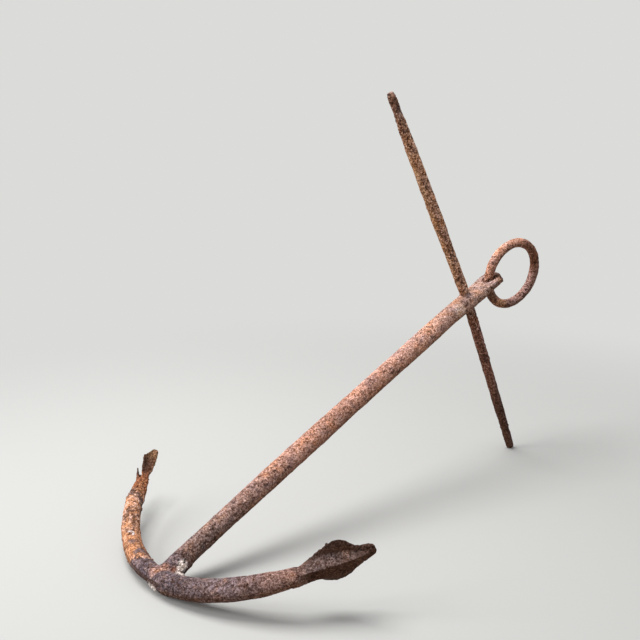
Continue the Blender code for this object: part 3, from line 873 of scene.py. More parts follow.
def add_sound_palm(obj):
    """The arm's end beaten out into a blade, with the bar running out as a rib along its back."""
    rings = []
    for row in SOUND_PALM:
        s, blade, thick, up, down, foot, foot_in, crest, crest_in, belly, belly_in = (v / 1000 for v in row)
        inner = blade + thick / 2
        corners = [(0.0, inner), (0.6 * up, blade + 0.42 * thick), (0.94 * up, blade + 0.25 * thick)]
        corners += [(up, blade - 0.1 * thick), (0.5 * (up + foot), 0.5 * (foot_in + blade - 0.4 * thick))]
        corners += [(foot, foot_in), (0.5 * (foot + crest), 0.5 * (foot_in + crest_in)), (crest, crest_in)]
        corners += [(belly, belly_in), (0.5 * (belly - down), 0.5 * (belly_in + blade - 0.35 * thick))]
        corners += [(-down, blade - 0.1 * thick), (-0.94 * down, blade + 0.25 * thick)]
        corners += [(-0.6 * down, blade + 0.42 * thick)]
        rings.append([NEAR_ARM.place(s, inward, stockwise) for stockwise, inward in corners])
    add_shape(obj, rings)


def add_torn_palm(obj):
    """The strip that is left of the other palm, thinned to a neck and folded along its middle."""
    rings = []
    for row in TORN_PALM:
        s, up, down, thick, blade = (v / 1000 for v in row[:5])
        turn, fold = math.radians(row[5]), row[6] / 1000
        corners = [(up, 0.15 * thick + 0.4 * fold), (0.80 * up, 0.30 * thick)]
        corners += [(0.50 * up, 0.4 * thick - fold)]
        corners += [(0.14 * up, 0.5 * thick + 0.5 * fold), (-0.45 * down, 0.5 * thick + 0.2 * fold)]
        corners += [(-0.9 * down, 0.3 * thick), (-down, -0.1 * thick), (-0.8 * down, -0.4 * thick)]
        corners += [(0.0, -0.5 * thick), (0.5 * up, -0.5 * thick - 0.5 * fold), (0.9 * up, -0.35 * thick)]
        ring = []
        for wide, deep in corners:
            inward = blade + deep * math.cos(turn) + wide * math.sin(turn)
            ring.append(FAR_ARM.place(s, inward, wide * math.cos(turn) - deep * math.sin(turn)))
        rings.append(ring)
    add_shape(obj, rings)


# The squared limb on the eye's near side, in millimetres: along; across; half width; stockwise from and to.
EYE_LIMB = [
    (538.0, -9.0, 4.4, -5.0, 2.4),
    (550.0, -10.8, 4.2, -4.6, 2.9),
    (560.0, -12.0, 3.6, -4.2, 3.2),
    (567.6, -12.8, 3.0, -3.6, 3.3),
]


def add_eye_limb(obj):
    """The eye's near limb, worn square and standing past the rest."""
    rings = []
    for row in EYE_LIMB:
        along, across, half, low, high = (value / 1000 for value in row)
        corners = [(across - half, low), (across + half, low), (across + half, high), (across - half, high)]
        rings.append([AXES.place(along, wide, up) for wide, up in corners])
    add_shape(obj, rings)


# The worn flat on the crown's outside: how deep, how far along the torn arm, and how far it spreads.
WORN_DEPTH = 0.0040
WORN_AT = 0.014
WORN_SPREAD = 0.024


def flatten_crown(obj):
    """Wears the crown's outside flat next to the torn arm, where it has lain on the ground."""
    points = mesh_points(obj)
    along, across, stockwise = AXES.read(points)
    s, inward = FAR_ARM.read(along, np.maximum(across, 0.0))
    s = np.where(across < 0.0, across, s)
    limit = AXES.bar_radius - WORN_DEPTH * np.exp(-(((s - WORN_AT) / WORN_SPREAD) ** 2))
    from_middle = np.hypot(np.minimum(inward, 0.0), stockwise)
    worn = (inward < -0.002) * (np.abs(across) < 0.09) * (along < 0.08)
    excess = np.maximum(from_middle - limit, 0.0) * worn
    turn = FAR_ARM.heading(np.maximum(s, 0.0))
    outward = np.minimum(inward, 0.0) / np.maximum(from_middle, 0.001)
    move = -excess * 0.9 * outward * step(0.75, 0.95, -outward + 0.15)
    points += (move * np.cos(turn))[:, None] * AXES.along - (move * np.sin(turn))[:, None] * AXES.across
    move_points(obj, points)


# The shaved underside of the eye's near limb: how low it reaches, from where across it rises, and how fast.
SHAVED_TO = -0.0068
SHAVED_FROM = 0.006
SHAVED_SLOPE = 0.44


def shave_eye(obj):
    """Takes the eye's near limb down on its underside, where rust has thinned it to an edge."""
    points = mesh_points(obj)
    along, across, stockwise = AXES.read(points)
    lowest = SHAVED_TO + SHAVED_SLOPE * np.maximum(-across - SHAVED_FROM, 0.0)
    near_limb = (across < 0.0) * (along < 0.59)
    lift = np.maximum(lowest - stockwise, 0.0) * step(0.532, 0.545, along) * near_limb
    points += lift[:, None] * AXES.stockwise
    move_points(obj, points)


PACKING_STEPS = 4


def add_packing(obj, settings):
    """Rust packed round the stock where it goes through the shank."""
    along, across, way = AXES.turn(1, 0, 0), AXES.turn(0, 1, 0), AXES.stockwise
    points = node_points("stock")
    distance, sideways, height = AXES.read(points)
    near = (np.abs(height - 0.020) < 0.012) & (distance > HEAD_FROM)
    middle = AXES.place(distance[near].mean(), sideways[near].mean(), 0.0)
    rings = []
    for rise in (i / PACKING_STEPS for i in range(PACKING_STEPS + 1)):
        grown = 0.0066 + 0.0036 * (1.0 - rise) ** 2
        up = 0.0030 + settings.packing * rise
        rings.append(oval(middle + Vector(way) * up, along, across, grown + 0.0022 * (1 - rise), grown, 20))
    add_shape(obj, rings)


def set_zones(obj, **zones):
    """Stores numbers, or colours, for each point of an object's mesh, each under its own name."""
    attributes = obj.data.attributes
    for name, values in zones.items():
        values = np.asarray(values, np.float32)
        if values.ndim == 2:
            kept = attributes.get(name) or attributes.new(name, "FLOAT_COLOR", "POINT")
            values = np.hstack([values, np.ones((len(values), 1), np.float32)])
            kept.data.foreach_set("color", values.ravel())
        else:
            kept = attributes.get(name) or attributes.new(name, "FLOAT", "POINT")
            kept.data.foreach_set("value", values)


def refine(obj, voxel, smoothing):
    """An even mesh over the whole object, its facets and joins softened."""
    remesh = obj.modifiers.new("remesh", "REMESH")
    remesh.mode = "VOXEL"
    remesh.voxel_size = voxel
    remesh.adaptivity = 0.0
    soften = obj.modifiers.new("soften", "SMOOTH")
    soften.factor = 0.5
    soften.iterations = smoothing
    settle(obj)


NORMALS_EVERY = 4  # rounds between fresh normals


def fill_hollows(obj, where, rounds):
    """Rounds out the hollow corners where asked, as a weld or packed rust does, and nothing else."""
    mesh = obj.data
    edges = np.empty(len(mesh.edges) * 2, np.int32)
    mesh.edges.foreach_get("vertices", edges)
    here, there = edges[0::2], edges[1::2]
    touched = (where[here] > 0.0) | (where[there] > 0.0)
    here, there = here[touched], there[touched]
    number = len(mesh.vertices)
    count = np.bincount(here, minlength=number) + np.bincount(there, minlength=number)
    count = np.maximum(count, 1)
    points = mesh_points(obj)
    for turn in range(rounds):
        if turn % NORMALS_EVERY == 0:
            move_points(obj, points)
            normals = mesh_points(obj, "normal")
        rise = np.zeros(number)
        for axis in range(3):
            total = np.bincount(here, points[there, axis], number)
            total = total + np.bincount(there, points[here, axis], number)
            rise += (total / count - points[:, axis]) * normals[:, axis]
        rise = np.maximum(rise, 0.0) * where * 0.8
        points += normals * rise[:, None]
    move_points(obj, points)


def weather(obj, settings, material, shrink=0.0, crust_height=0.0):
    values = {
        "Dent Depth": settings.dent_depth,
        "Dent Size": settings.dent_size,
        "Scale Depth": settings.layer_depth,
        "Scale Size": settings.layer_size,
        "Pit Depth": settings.pit_depth,
        "Pit Size": settings.pit_size,
        "Crust Height": crust_height,
        "Shrink": shrink,
        "Seed": settings.seed,
        "Material": material,
    }
    grow(obj, weathering_tree(), values)


def keep_in_box(obj):
    """Flattens whatever the wear raised past the box round the solids."""
    move_points(obj, np.clip(mesh_points(obj), np.array(CAD_LOW), np.array(CAD_HIGH)))


def hand_over(obj, slot, *nodes):
    """Gives a finished piece to the frame."""
    keep_in_box(obj)
    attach(obj, BODY)
    if nodes:
        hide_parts(*nodes)


# ---------------------------------------------------------------- zones of the anchor


# Streaks of pale crust, from one place on the anchor to another, and how far round them it reaches.
CRUST_STREAKS = [
    ((0.0100, -0.0236, 0.0042), (0.0225, -0.0140, 0.0054), 0.0080),
    ((-0.0096, 0.0120, 0.0004), (-0.0103, -0.0040, 0.0000), 0.0031),
]
# Patches in the crook between the shank and the torn arm, each with how far it reaches and its colour.
CROOK_PATCHES = [
    ((0.0005, 0.0015, 0.0106), 0.0095, "crook"),
    ((0.0090, -0.0025, 0.0102), 0.0080, "crook"),
    ((0.0127, -0.0109, 0.0049), 0.0075, "patch"),
]
CRATER = (0.0215, 0.0750, 0.0106)  # the middle of a deep pit in the torn arm
CRATER_RADIUS = 0.0042
# Where the painted highlight on the head lies.
HIGHLIT_PLACE = (0.4830, -0.0095, 0.0035)
# How far along the shank its colour is lighter or darker, and by how much.
SHANK_SHADES = ((0.06, 0.15, 0.25, 0.35, 0.50), (1.0, 1.15, 0.86, 1.16, 1.04))


def from_ring(points):
    """How far each point is from the middle of the ring's wire."""
    wire = node_points("ring")
    centre = wire.mean(axis=0)
    axis = main_directions(wire)[2]
    flat = wire - centre
    radius = np.linalg.norm(flat - np.outer(flat @ axis, axis), axis=1).mean()
    away = points - centre
    level = away @ axis
    outward = np.linalg.norm(away - np.outer(level, axis), axis=1)
    return np.hypot(outward - radius, level)


def away_from(read, centre):
    """How far each point is from a place on the anchor."""
    return np.sqrt(sum((values - middle) ** 2 for values, middle in zip(read, centre)))


def spot(read, centre, reach):
    """1 at a place on the anchor, falling to 0 at this reach from it."""
    return step(reach, reach * 0.4, away_from(read, centre))


def streak(read, start, end, reach):
    """1 along a line between two places on the anchor, falling to 0 at this reach from it."""
    way = np.array(end) - np.array(start)
    walked = sum((values - first) * part for values, first, part in zip(read, start, way)) / (way @ way)
    walked = np.clip(walked, 0.0, 1.0)
    away = np.sqrt(sum((v - first - walked * part) ** 2 for v, first, part in zip(read, start, way)))
    return step(reach, reach * 0.45, away)


class Coat:
    """The body colour and the amounts of wear of each point, laid on one tone after another."""

    def __init__(self, number, colour):
        self.body = np.broadcast_to(np.array(colour), (number, 3)).copy()
        self.bloom = np.full(number, 0.45)
        self.speckle = np.full(number, 0.60)
        self.fresh = np.zeros(number)

    def tone(self, weight, colour, bloom=None, speckle=None):
        """Blends in a colour by these weights, and the bloom and speckle that go with it."""
        self.body += (np.array(colour) - self.body) * weight[:, None]
        if bloom is not None:
            self.bloom += (bloom - self.bloom) * weight
        if speckle is not None:
            self.speckle += (speckle - self.speckle) * weight


class Zones:
    """Where each point of the forging is, and the wear and colour that go with the place."""

    def __init__(self, obj):
        self.read = AXES.read(mesh_points(obj))
        normals = mesh_points(obj, "normal")
        self.facing = [normals @ np.array(way) for way in (AXES.along, AXES.across, AXES.stockwise)]
        self.along, self.across, self.stockwise = self.read
        self.near_s, self.near_in = NEAR_ARM.read(self.along, -np.abs(self.across))
        self.far_s, self.far_in = FAR_ARM.read(self.along, np.abs(self.across))
        self.on_arms = step(0.022, 0.015, np.abs(np.where(self.across < 0.0, self.near_in, self.far_in)))
        self.near = (self.across < 0.0) * self.on_arms
        self.far = (self.across >= 0.0) * self.on_arms
        self.on_stock = step(0.0125, 0.0150, np.abs(self.stockwise)) * (self.along > HEAD_FROM)

    def joins(self):
        foot = step(0.060, 0.035, self.along) * step(0.055, 0.035, np.abs(self.across))
        around = np.hypot(self.along - STOCK_AT, self.across)
        stock = step(0.020, 0.015, around) * step(0.017, 0.012, self.stockwise) * (self.stockwise > 0.0)
        palms = self.near * step(0.140, 0.150, self.near_s) * step(0.226, 0.215, self.near_s) * 0.6
        palms = palms + self.far * step(0.140, 0.150, self.far_s) * 0.4
        return np.clip(foot + stock + palms, 0.0, 1.0)

    def paint_shank(self, coat, colours):
        coat.tone(step(0.05, 0.24, self.along), colours.shank, 0.62, 0.42)
        coat.tone(0.35 * step(0.30, 0.48, self.along), colours.bloom)
        coat.body *= np.interp(self.along, *SHANK_SHADES)[:, None]
        coat.tone(step(0.475, 0.52, self.along), colours.head, 0.75, 0.30)
        # Painted shade on the shank beside the stock, on its upper side.
        by_stock = step(0.43, 0.47, self.along) * step(0.515, 0.495, self.along)
        by_stock = by_stock * step(0.002, 0.008, self.stockwise)
        coat.tone(0.40 * by_stock, colours.shank_foot, 0.50, 0.3)
        # Painted highlight on the head's ridge.
        coat.tone(0.75 * spot(self.read, HIGHLIT_PLACE, 0.0120), colours.highlit, 0.8, 0.0)

    def paint_arms(self, coat, colours):
        off_shank = 1 - step(0.020, 0.070, self.along)
        by_crown = self.on_arms * step(0.060, 0.040, self.along + 0.2 * off_shank)
        coat.tone(by_crown, colours.arms, 0.28, 0.50)
        past_crown = np.maximum(self.near, self.far) * step(0.04, 0.05, np.abs(self.across))
        coat.tone(past_crown, colours.arms, 0.28, 0.50)
        crown = step(0.040, 0.020, self.along) * step(0.075, 0.040, np.abs(self.across - 0.010))
        coat.tone(0.95 * crown, colours.crown)
        coat.tone(self.near * step(0.085, 0.140, self.near_s) * 0.8, colours.arm_end, 0.35, 0.6)

    def paint_sound_palm(self, coat, colours):
        """Dark rust, with painted shade below the rib's crest and painted light on the rib between its crest
        and its foot.
        """
        rows = np.array(SOUND_PALM) / 1000
        foot = np.interp(self.near_s, rows[:, 0], rows[:, RIB_FOOT])
        crest = np.interp(self.near_s, rows[:, 0], rows[:, RIB_CREST])
        above = self.stockwise - crest
        palm = self.near * step(0.146, 0.165, self.near_s)
        rib = step(-0.0008, 0.0006, above) * step(0.0030, -0.0010, self.stockwise - foot)
        rib = rib * step(0.0070, 0.0050, self.near_in) * step(0.216, 0.200, self.near_s)
        coat.tone(palm, colours.palm, 0.12, 0.45)
        coat.tone(palm * step(0.0, -0.002, above), colours.palm_under_shade, 0.10, 0.35)
        coat.tone(palm * rib, colours.palm_rib_light, 0.28, 0.40)

    def paint_stock(self, coat, colours):
        height = self.stockwise
        coat.tone(self.on_stock, colours.stock, 1.5, 1.7)
        # Painted light: faces of the stock turned towards the left lamp get a lighter, yellowish colour.
        left = step(0.10, 0.60, 0.54 * self.facing[1] - 0.71 * self.facing[0])
        left = left * self.on_stock * step(0.015, 0.04, height) * step(0.235, 0.20, height)
        coat.tone(0.9 * left, colours.stock_lit_side, 1.0, 0.7)
        coat.tone(self.on_stock * step(0.01, -0.04, height), colours.low_stock, 0.8, 1.5)
        # Painted shadow on the stock just below the shank.
        below_shank = 0.7 * self.on_stock * step(-0.034, -0.018, height) * (height < 0.0)
        coat.tone(below_shank, colours.shade_brown)
        coat.tone(self.on_stock * step(-0.06, -0.17, height), colours.stock_foot, 0.12, 0.8)
        coat.tone(0.75 * self.on_stock * step(0.235, 0.262, height), colours.shank_foot, 0.45, 0.9)

    def paint_torn_arm(self, coat, colours):
        """Bright rust past a slanting edge, and pale bloom before the shoulder."""
        by_crown = 0.8 * self.far * step(0.020, 0.035, self.far_s) * step(0.095, 0.080, self.far_s)
        coat.tone(by_crown, colours.arms, 0.08)
        pale = self.far * step(0.088, 0.105, self.far_s) * step(0.150, 0.138, self.far_s)
        coat.tone(0.6 * pale, colours.bloom, 0.85, 0.4)
        past_edge = self.far_s - 0.026 + 1.1 * self.far_in
        fresh = self.far * step(0.0, 0.016, past_edge) * step(0.166, 0.150, self.far_s)
        coat.fresh = fresh * (0.79 + 0.21 * step(0.070, 0.090, self.far_s))
        for centre, reach, name in CROOK_PATCHES:
            here = spot(self.read, centre, reach)
            coat.tone(0.70 * here, getattr(colours, name), 0.45, 1.1)
            coat.fresh = np.maximum(coat.fresh, 0.10 * here)

    def paint_torn_palm(self, coat, colours):
        """The neck, the leaf with its folded edge and its tip, and the arm's shoulder before them."""
        neck = self.far * step(0.150, 0.158, self.far_s) * step(0.196, 0.186, self.far_s)
        coat.fresh = np.maximum(coat.fresh, neck * step(-0.0005, 0.0030, self.far_in) * 0.30)
        coat.tone(neck, colours.neck, 0.10, 0.6)
        leaf = self.far * step(0.190, 0.200, self.far_s)
        # The leaf's fold: painted shade on its outer side, and a lighter, painted lit colour on its folded
        # edge.
        outside = 0.866 * self.stockwise - 0.5 * self.far_in
        coat.tone(leaf * step(0.0005, 0.0030, outside), colours.leaf, 0.05, 0.5)
        coat.tone(leaf * step(0.0005, -0.0025, outside), colours.leaf_lit_side, 0.35, 0.5)
        coat.tone(0.75 * step(0.212, 0.226, self.far_s) * leaf, colours.leaf_tip, 0.20, 0.4)
        shoulder = self.far * step(0.118, 0.132, self.far_s) * step(0.165, 0.155, self.far_s)
        coat.tone(0.85 * shoulder, colours.shoulder)
        coat.fresh = coat.fresh * (1.0 - 0.5 * shoulder)

    def paint_eye(self, coat, colours, seized):
        # Painted shade in the hollow where the ring goes through the eye.
        coat.tone(0.7 * seized, colours.shade_brown, 0.2, 0.5)
        # Painted shade on the near limb's side wall, where it faces across and not upwards, and on its end.
        limb = step(0.3, 0.7, -self.facing[1]) * step(0.50, 0.15, self.facing[2])
        limb = limb * step(0.532, 0.543, self.along)
        tip = step(0.5615, 0.5650, self.along) * (self.across < 0.0)
        coat.tone(0.75 * np.maximum(limb, tip), colours.limb, 0.2, 0.6)

    def paint(self, obj, colours):
        """Stores the body colour and the amounts of bloom, speckle, fresh rust, rot, pits and crust."""
        coat = Coat(len(self.along), colours.shank_foot)
        self.paint_shank(coat, colours)
        self.paint_arms(coat, colours)
        self.paint_sound_palm(coat, colours)
        coat.tone(self.far * step(0.160, 0.185, self.far_s), colours.torn_palm, 0.25, 0.60)
        self.paint_stock(coat, colours)
        self.paint_torn_arm(coat, colours)
        self.paint_torn_palm(coat, colours)
        coat.speckle *= 1.0 - 0.55 * coat.fresh
        seized = step(0.0095, 0.0070, from_ring(mesh_points(obj))) * (self.along > 0.5)
        self.paint_eye(coat, colours, seized)

        rot = self.far * step(0.135, 0.165, self.far_s) + 0.35 * self.near * step(0.15, 0.17, self.near_s)
        from_crater = away_from(self.read, CRATER)
        in_crater = step(0.0038, 0.0024, from_crater)
        rot = np.maximum(rot, 0.8 * in_crater)
        lip = step(0.0014, 0.0005, np.abs(from_crater - CRATER_RADIUS))
        lip = lip * step(-0.001, 0.002, self.along - CRATER[0])
        coat.tone(0.6 * lip, colours.crust, 0.5, 0.0)
        fresh = coat.fresh * (1.0 - lip)
        set_zones(
            obj,
            body=coat.body,
            bloom=coat.bloom,
            speckle=coat.speckle,
            fresh=fresh,
            rot=np.maximum(rot, 0.2 * self.on_stock),
            pitted=0.5 * self.on_stock + 0.9 * fresh + 1.5 * in_crater,
            seized=seized,
            crust=np.max([streak(self.read, *line) for line in CRUST_STREAKS], axis=0),
            flaking=0.02 + 0.10 * self.on_stock + 0.7 * rot + 0.35 * fresh,
        )


# ---------------------------------------------------------------- parting the forging


def parting_planes():
    """Each place where the forging is parted, the direction across it, and how near a face must be."""
    planes = [(AXES.place(SHANK_FROM, 0.0, 0.0), AXES.turn(1, 0, 0), 0.030)]
    for arm in (NEAR_ARM, FAR_ARM):
        planes.append((arm.place(PALM_FROM), arm.onward(PALM_FROM), 0.022))
    for height in STOCK_PARTS:
        planes.append((AXES.place(STOCK_AT, 0.0, height), AXES.turn(0, 0, 1), 0.016))
    return planes


def pieces_of(points):
    """Which piece of the forging each point belongs to."""
    along, across, stockwise = AXES.read(points)
    near_plane, far_plane = parting_planes()[1:3]
    past_near = (points - np.array(near_plane[0])) @ np.array(near_plane[1]) > 0.0
    past_far = (points - np.array(far_plane[0])) @ np.array(far_plane[1]) > 0.0
    piece = np.full(len(points), "arms", dtype=object)
    piece[(along > SHANK_FROM) & (np.abs(across) < 0.045)] = "shank"
    piece[past_near & (across < -0.08) & (along < 0.2)] = "near_palm"
    piece[past_far & (across > 0.08) & (along < 0.2)] = "far_palm"
    above, below = STOCK_PARTS
    piece[(along > HEAD_FROM) & ((stockwise > above) | (stockwise < below))] = "stock"
    return piece


def part_forging(obj, names):
    """Cuts the forging at its planes and gives each node its own closed piece."""
    whole = obj.data.copy()
    with editing(whole) as mesh:
        for place, way, reach in parting_planes():
            cut(mesh, close_to(mesh, place, reach), place, way)
    centres = np.empty(len(whole.polygons) * 3)
    whole.polygons.foreach_get("center", centres)
    owner = pieces_of(centres.reshape(-1, 3))
    parts = {}
    for node, name in names.items():
        data = whole.copy()
        data.name = name
        with editing(data) as mesh:
            mesh.faces.ensure_lookup_table()
            strangers = [mesh.faces[i] for i in np.flatnonzero(owner != node)]
            bmesh.ops.delete(mesh, geom=strangers, context="FACES")
            rims = [edge for edge in mesh.edges if edge.is_boundary]
            for face in bmesh.ops.holes_fill(mesh, edges=rims, sides=0)["faces"]:
                face.smooth = False
            bmesh.ops.recalc_face_normals(mesh, faces=mesh.faces)
        parts[node] = new_object(name, data)
    bpy.data.meshes.remove(whole)
    bpy.data.objects.remove(obj)
    return parts


SKIN = "forging_skin"  # the whole forging's mesh, kept for what lies on it
PIECES = {
    "shank": "forged_shank",
    "arms": "forged_arms",
    "near_palm": "sound_palm",
    "far_palm": "torn_palm",
    "stock": "bent_stock",
}
SLOTS = {
    "shank": "shank_iron",
    "arms": "arms_iron",
    "near_palm": "palm_iron",
    "far_palm": "scaled_iron",
    "stock": "stock_iron",
}


# ---------------------------------------------------------------- operators


class ANCHOR_OT_forging(bpy.types.Operator):
    """Make the shank, arms, palms and stock as one weathered forging, then part it into its pieces"""

    bl_idname = "anchor.forging"
    bl_label = "Forging"

    def execute(self, context):
        settings = context.scene.anchor.forging
        obj = new_object("forging", solid_copy("forging", FORGED_NODES, WELD_OVERLAP))
        cut_arm(obj, NEAR_ARM)
        add_weld(obj, settings)
        add_sound_palm(obj)
        add_torn_palm(obj)
        add_packing(obj, settings)
        add_eye_limb(obj)
        refine(obj, settings.voxel, smoothing=2)
        shave_eye(obj)
        flatten_crown(obj)
        fill_hollows(obj, Zones(obj).joins(), rounds=40)
        Zones(obj).paint(obj, context.scene.anchor.colours)
        iron = rust_material("rusted_iron")
        weather(obj, settings, iron, shrink=WELD_OVERLAP, crust_height=settings.crust_height)
        skin = obj.data.copy()
        skin.name = SKIN
        for node, piece in part_forging(obj, PIECES).items():
            piece.data.materials.clear()
            piece.data.materials.append(rust_material("rusted_" + node))
            hand_over(piece, SLOTS[node], node)
        return {"FINISHED"}


# Patches on the ring, each with how far it reaches and its colour, and the notch worn in it.
RING_PATCHES = [
    ((0.6284, -0.0160, 0.0034), 0.0330, "ring_side"),
    ((0.5680, -0.0020, -0.0380), 0.0130, "ring_foot"),
    # Painted shade on the ring where it meets the eye's near limb.
    ((0.5530, -0.0010, -0.0200), 0.0140, "limb"),
]
RING_NOTCH = ((0.6080, -0.0100, -0.0490), 0.0048)


class ANCHOR_OT_ring(bpy.types.Operator):
    """Make the seized ring"""

    bl_idname = "anchor.ring"
    bl_label = "Ring"

    def execute(self, context):
        settings = context.scene.anchor.ring
        colours = context.scene.anchor.colours
        obj = new_object("lifting_ring", solid_copy("lifting_ring", ("ring",)))
        refine(obj, settings.voxel, smoothing=4)
        along, across, stockwise = AXES.read(mesh_points(obj))
        # Painted light and shade: the ring's upper half gets a lighter colour and more pale bloom, its lower
        # half a darker colour.
        lit_top = step(-0.045, 0.02, stockwise - 0.4 * (along - 0.597))
        low, high = np.array(colours.low_ring), np.array(colours.ring)
        body = low + (high - low) * lit_top[:, None]
        for centre, reach, name in RING_PATCHES:
            here = 0.85 * spot((along, across, stockwise), centre, reach)[:, None]
            body += (np.array(getattr(colours, name)) - body) * here
        notch = spot((along, across, stockwise), *RING_NOTCH)
        set_zones(
            obj,
            body=body,
            bloom=0.25 + 0.45 * lit_top,
            speckle=np.full(len(along), 0.75),
            pitted=0.4 + 4.0 * notch,
            rot=notch,
        )
        weather(obj, settings, rust_material("rusted_ring"))
        hand_over(obj, "ring_iron", "ring")
        return {"FINISHED"}


# Slivers standing at the torn end of the arm: places in millimetres along, across and stockwise, each with
# how wide and how thick the sliver is there.
SLIVERS = [
    [(80, 150, -1, 7.0, 5.0), (88, 160, 0, 5.6, 4.4), (95, 169, 1, 4.0, 3.4), (101, 177, 2, 1.6, 1.4)],
    [(85, 154, -4, 5.4, 4.0), (92, 162, -3, 4.2, 3.4), (97, 168.5, -2, 1.6, 1.4)],
    [(68, 131, -4, 4.4, 1.8), (76, 141, -5, 5.6, 2.0), (84, 150, -6, 5.0, 2.0), (91, 158, -6, 2.6, 1.6)],
]

SLIVER_VOXEL = 0.00045  # finer than elsewhere, for the slivers' thin tips


class ANCHOR_OT_slivers(bpy.types.Operator):
    """Make the slivers of iron standing at the torn end of the arm"""

    bl_idname = "anchor.slivers"
    bl_label = "Slivers"

    def execute(self, context):
        settings = context.scene.anchor.ring
        obj = new_object("torn_slivers", bpy.data.meshes.new("torn_slivers"))
        for sliver in SLIVERS:
            rings = []
            points = [AXES.place(*(value / 1000 for value in row[:3])) for row in sliver]
            way = (points[-1] - points[0]).normalized()
            flat = AXES.turn(0.0, 0.35, 1.0).cross(way).normalized()
            wide = way.cross(flat)
            for point, row in zip(points, sliver):
                rings.append(oval(point, wide, flat, row[3] / 2000, row[4] / 2000, 10))
            add_shape(obj, rings)
        refine(obj, SLIVER_VOXEL, smoothing=1)
        Zones(obj).paint(obj, context.scene.anchor.colours)
        set_zones(obj, rot=np.zeros(len(obj.data.vertices)))
        weather(obj, settings, rust_material("rusted_slivers"))
        hand_over(obj, "scaled_iron")
        return {"FINISHED"}


def strew(name, slot, zone_name, each, size, thickness, tilt, seed):
    """Scatters plates over the forging's skin and hands them over as one piece."""
    if SKIN not in bpy.data.meshes:
        raise RuntimeError("The forging comes before what lies on it")
    obj = new_object(name, bpy.data.meshes[SKIN].copy())
    values = {
        "Zone": zone_name,
        "Each Square Metre": each,
        "Size": size,
        "Thickness": thickness,
        "Tilt": tilt,
        "Seed": seed,
        "Material": rust_material("rusted_" + name),
    }
    grow(obj, scatter_tree(), values)
    if not obj.data.polygons:
        raise RuntimeError("Nothing was strewn for " + name)
    hand_over(obj, slot)


class ANCHOR_OT_flakes(bpy.types.Operator):
    """Strew flakes of rust over the torn arm, the stock and the shank"""

    bl_idname = "anchor.flakes"
    bl_label = "Flakes"

    def execute(self, context):
        given = context.scene.anchor.scatter
        much = {"each": given.flakes_each, "size": given.flake_size, "thickness": 0.22, "tilt": 0.22}
        strew("flakes", "scaled_iron", "flaking", seed=given.seed, **much)
        return {"FINISHED"}


class ANCHOR_OT_scabs(bpy.types.Operator):
    """Strew scabs of rust where the ring has seized in the eye"""

    bl_idname = "anchor.scabs"
    bl_label = "Scabs"

    def execute(self, context):
        given = context.scene.anchor.scatter
        much = {"each": given.scabs_each, "size": given.scab_size, "thickness": 0.5, "tilt": 0.5}
        strew("scabs", "ring_iron", "seized", seed=given.seed + 1, **much)
        return {"FINISHED"}


class ANCHOR_OT_crust(bpy.types.Operator):
    """Strew the lumps of pale crust in the crook of the crown"""

    bl_idname = "anchor.crust"
    bl_label = "Crust"

    def execute(self, context):
        given = context.scene.anchor.scatter
        much = {"each": given.crust_each, "size": given.crust_size, "thickness": 0.55, "tilt": 0.5}
        strew("crust_lumps", "arms_iron", "crusted", seed=given.seed + 2, **much)
        return {"FINISHED"}


class ANCHOR_OT_stage(bpy.types.Operator):
    """Make the plain floor, the soft light and the camera"""

    bl_idname = "anchor.stage"
    bl_label = "Stage"

    def execute(self, context):
        settings = context.scene.anchor.stage
        make_floor(settings)
        make_lights(settings)
        make_camera(settings)
        context.scene.view_settings.view_transform = "Standard"
        return {"FINISHED"}


FLOOR_RADIUS = 9.0
FLOOR_FADE = (0.30, 1.00)  # how far from the anchor the floor begins and ends fading into the backdrop
LAMP_SIZE = 1.1


def level_directions(settings):
    """The level directions ahead and to the right, as the camera looks."""
    ahead = Vector((math.sin(settings.bearing), math.cos(settings.bearing), 0.0))
    return ahead, Vector((ahead.y, -ahead.x, 0.0))


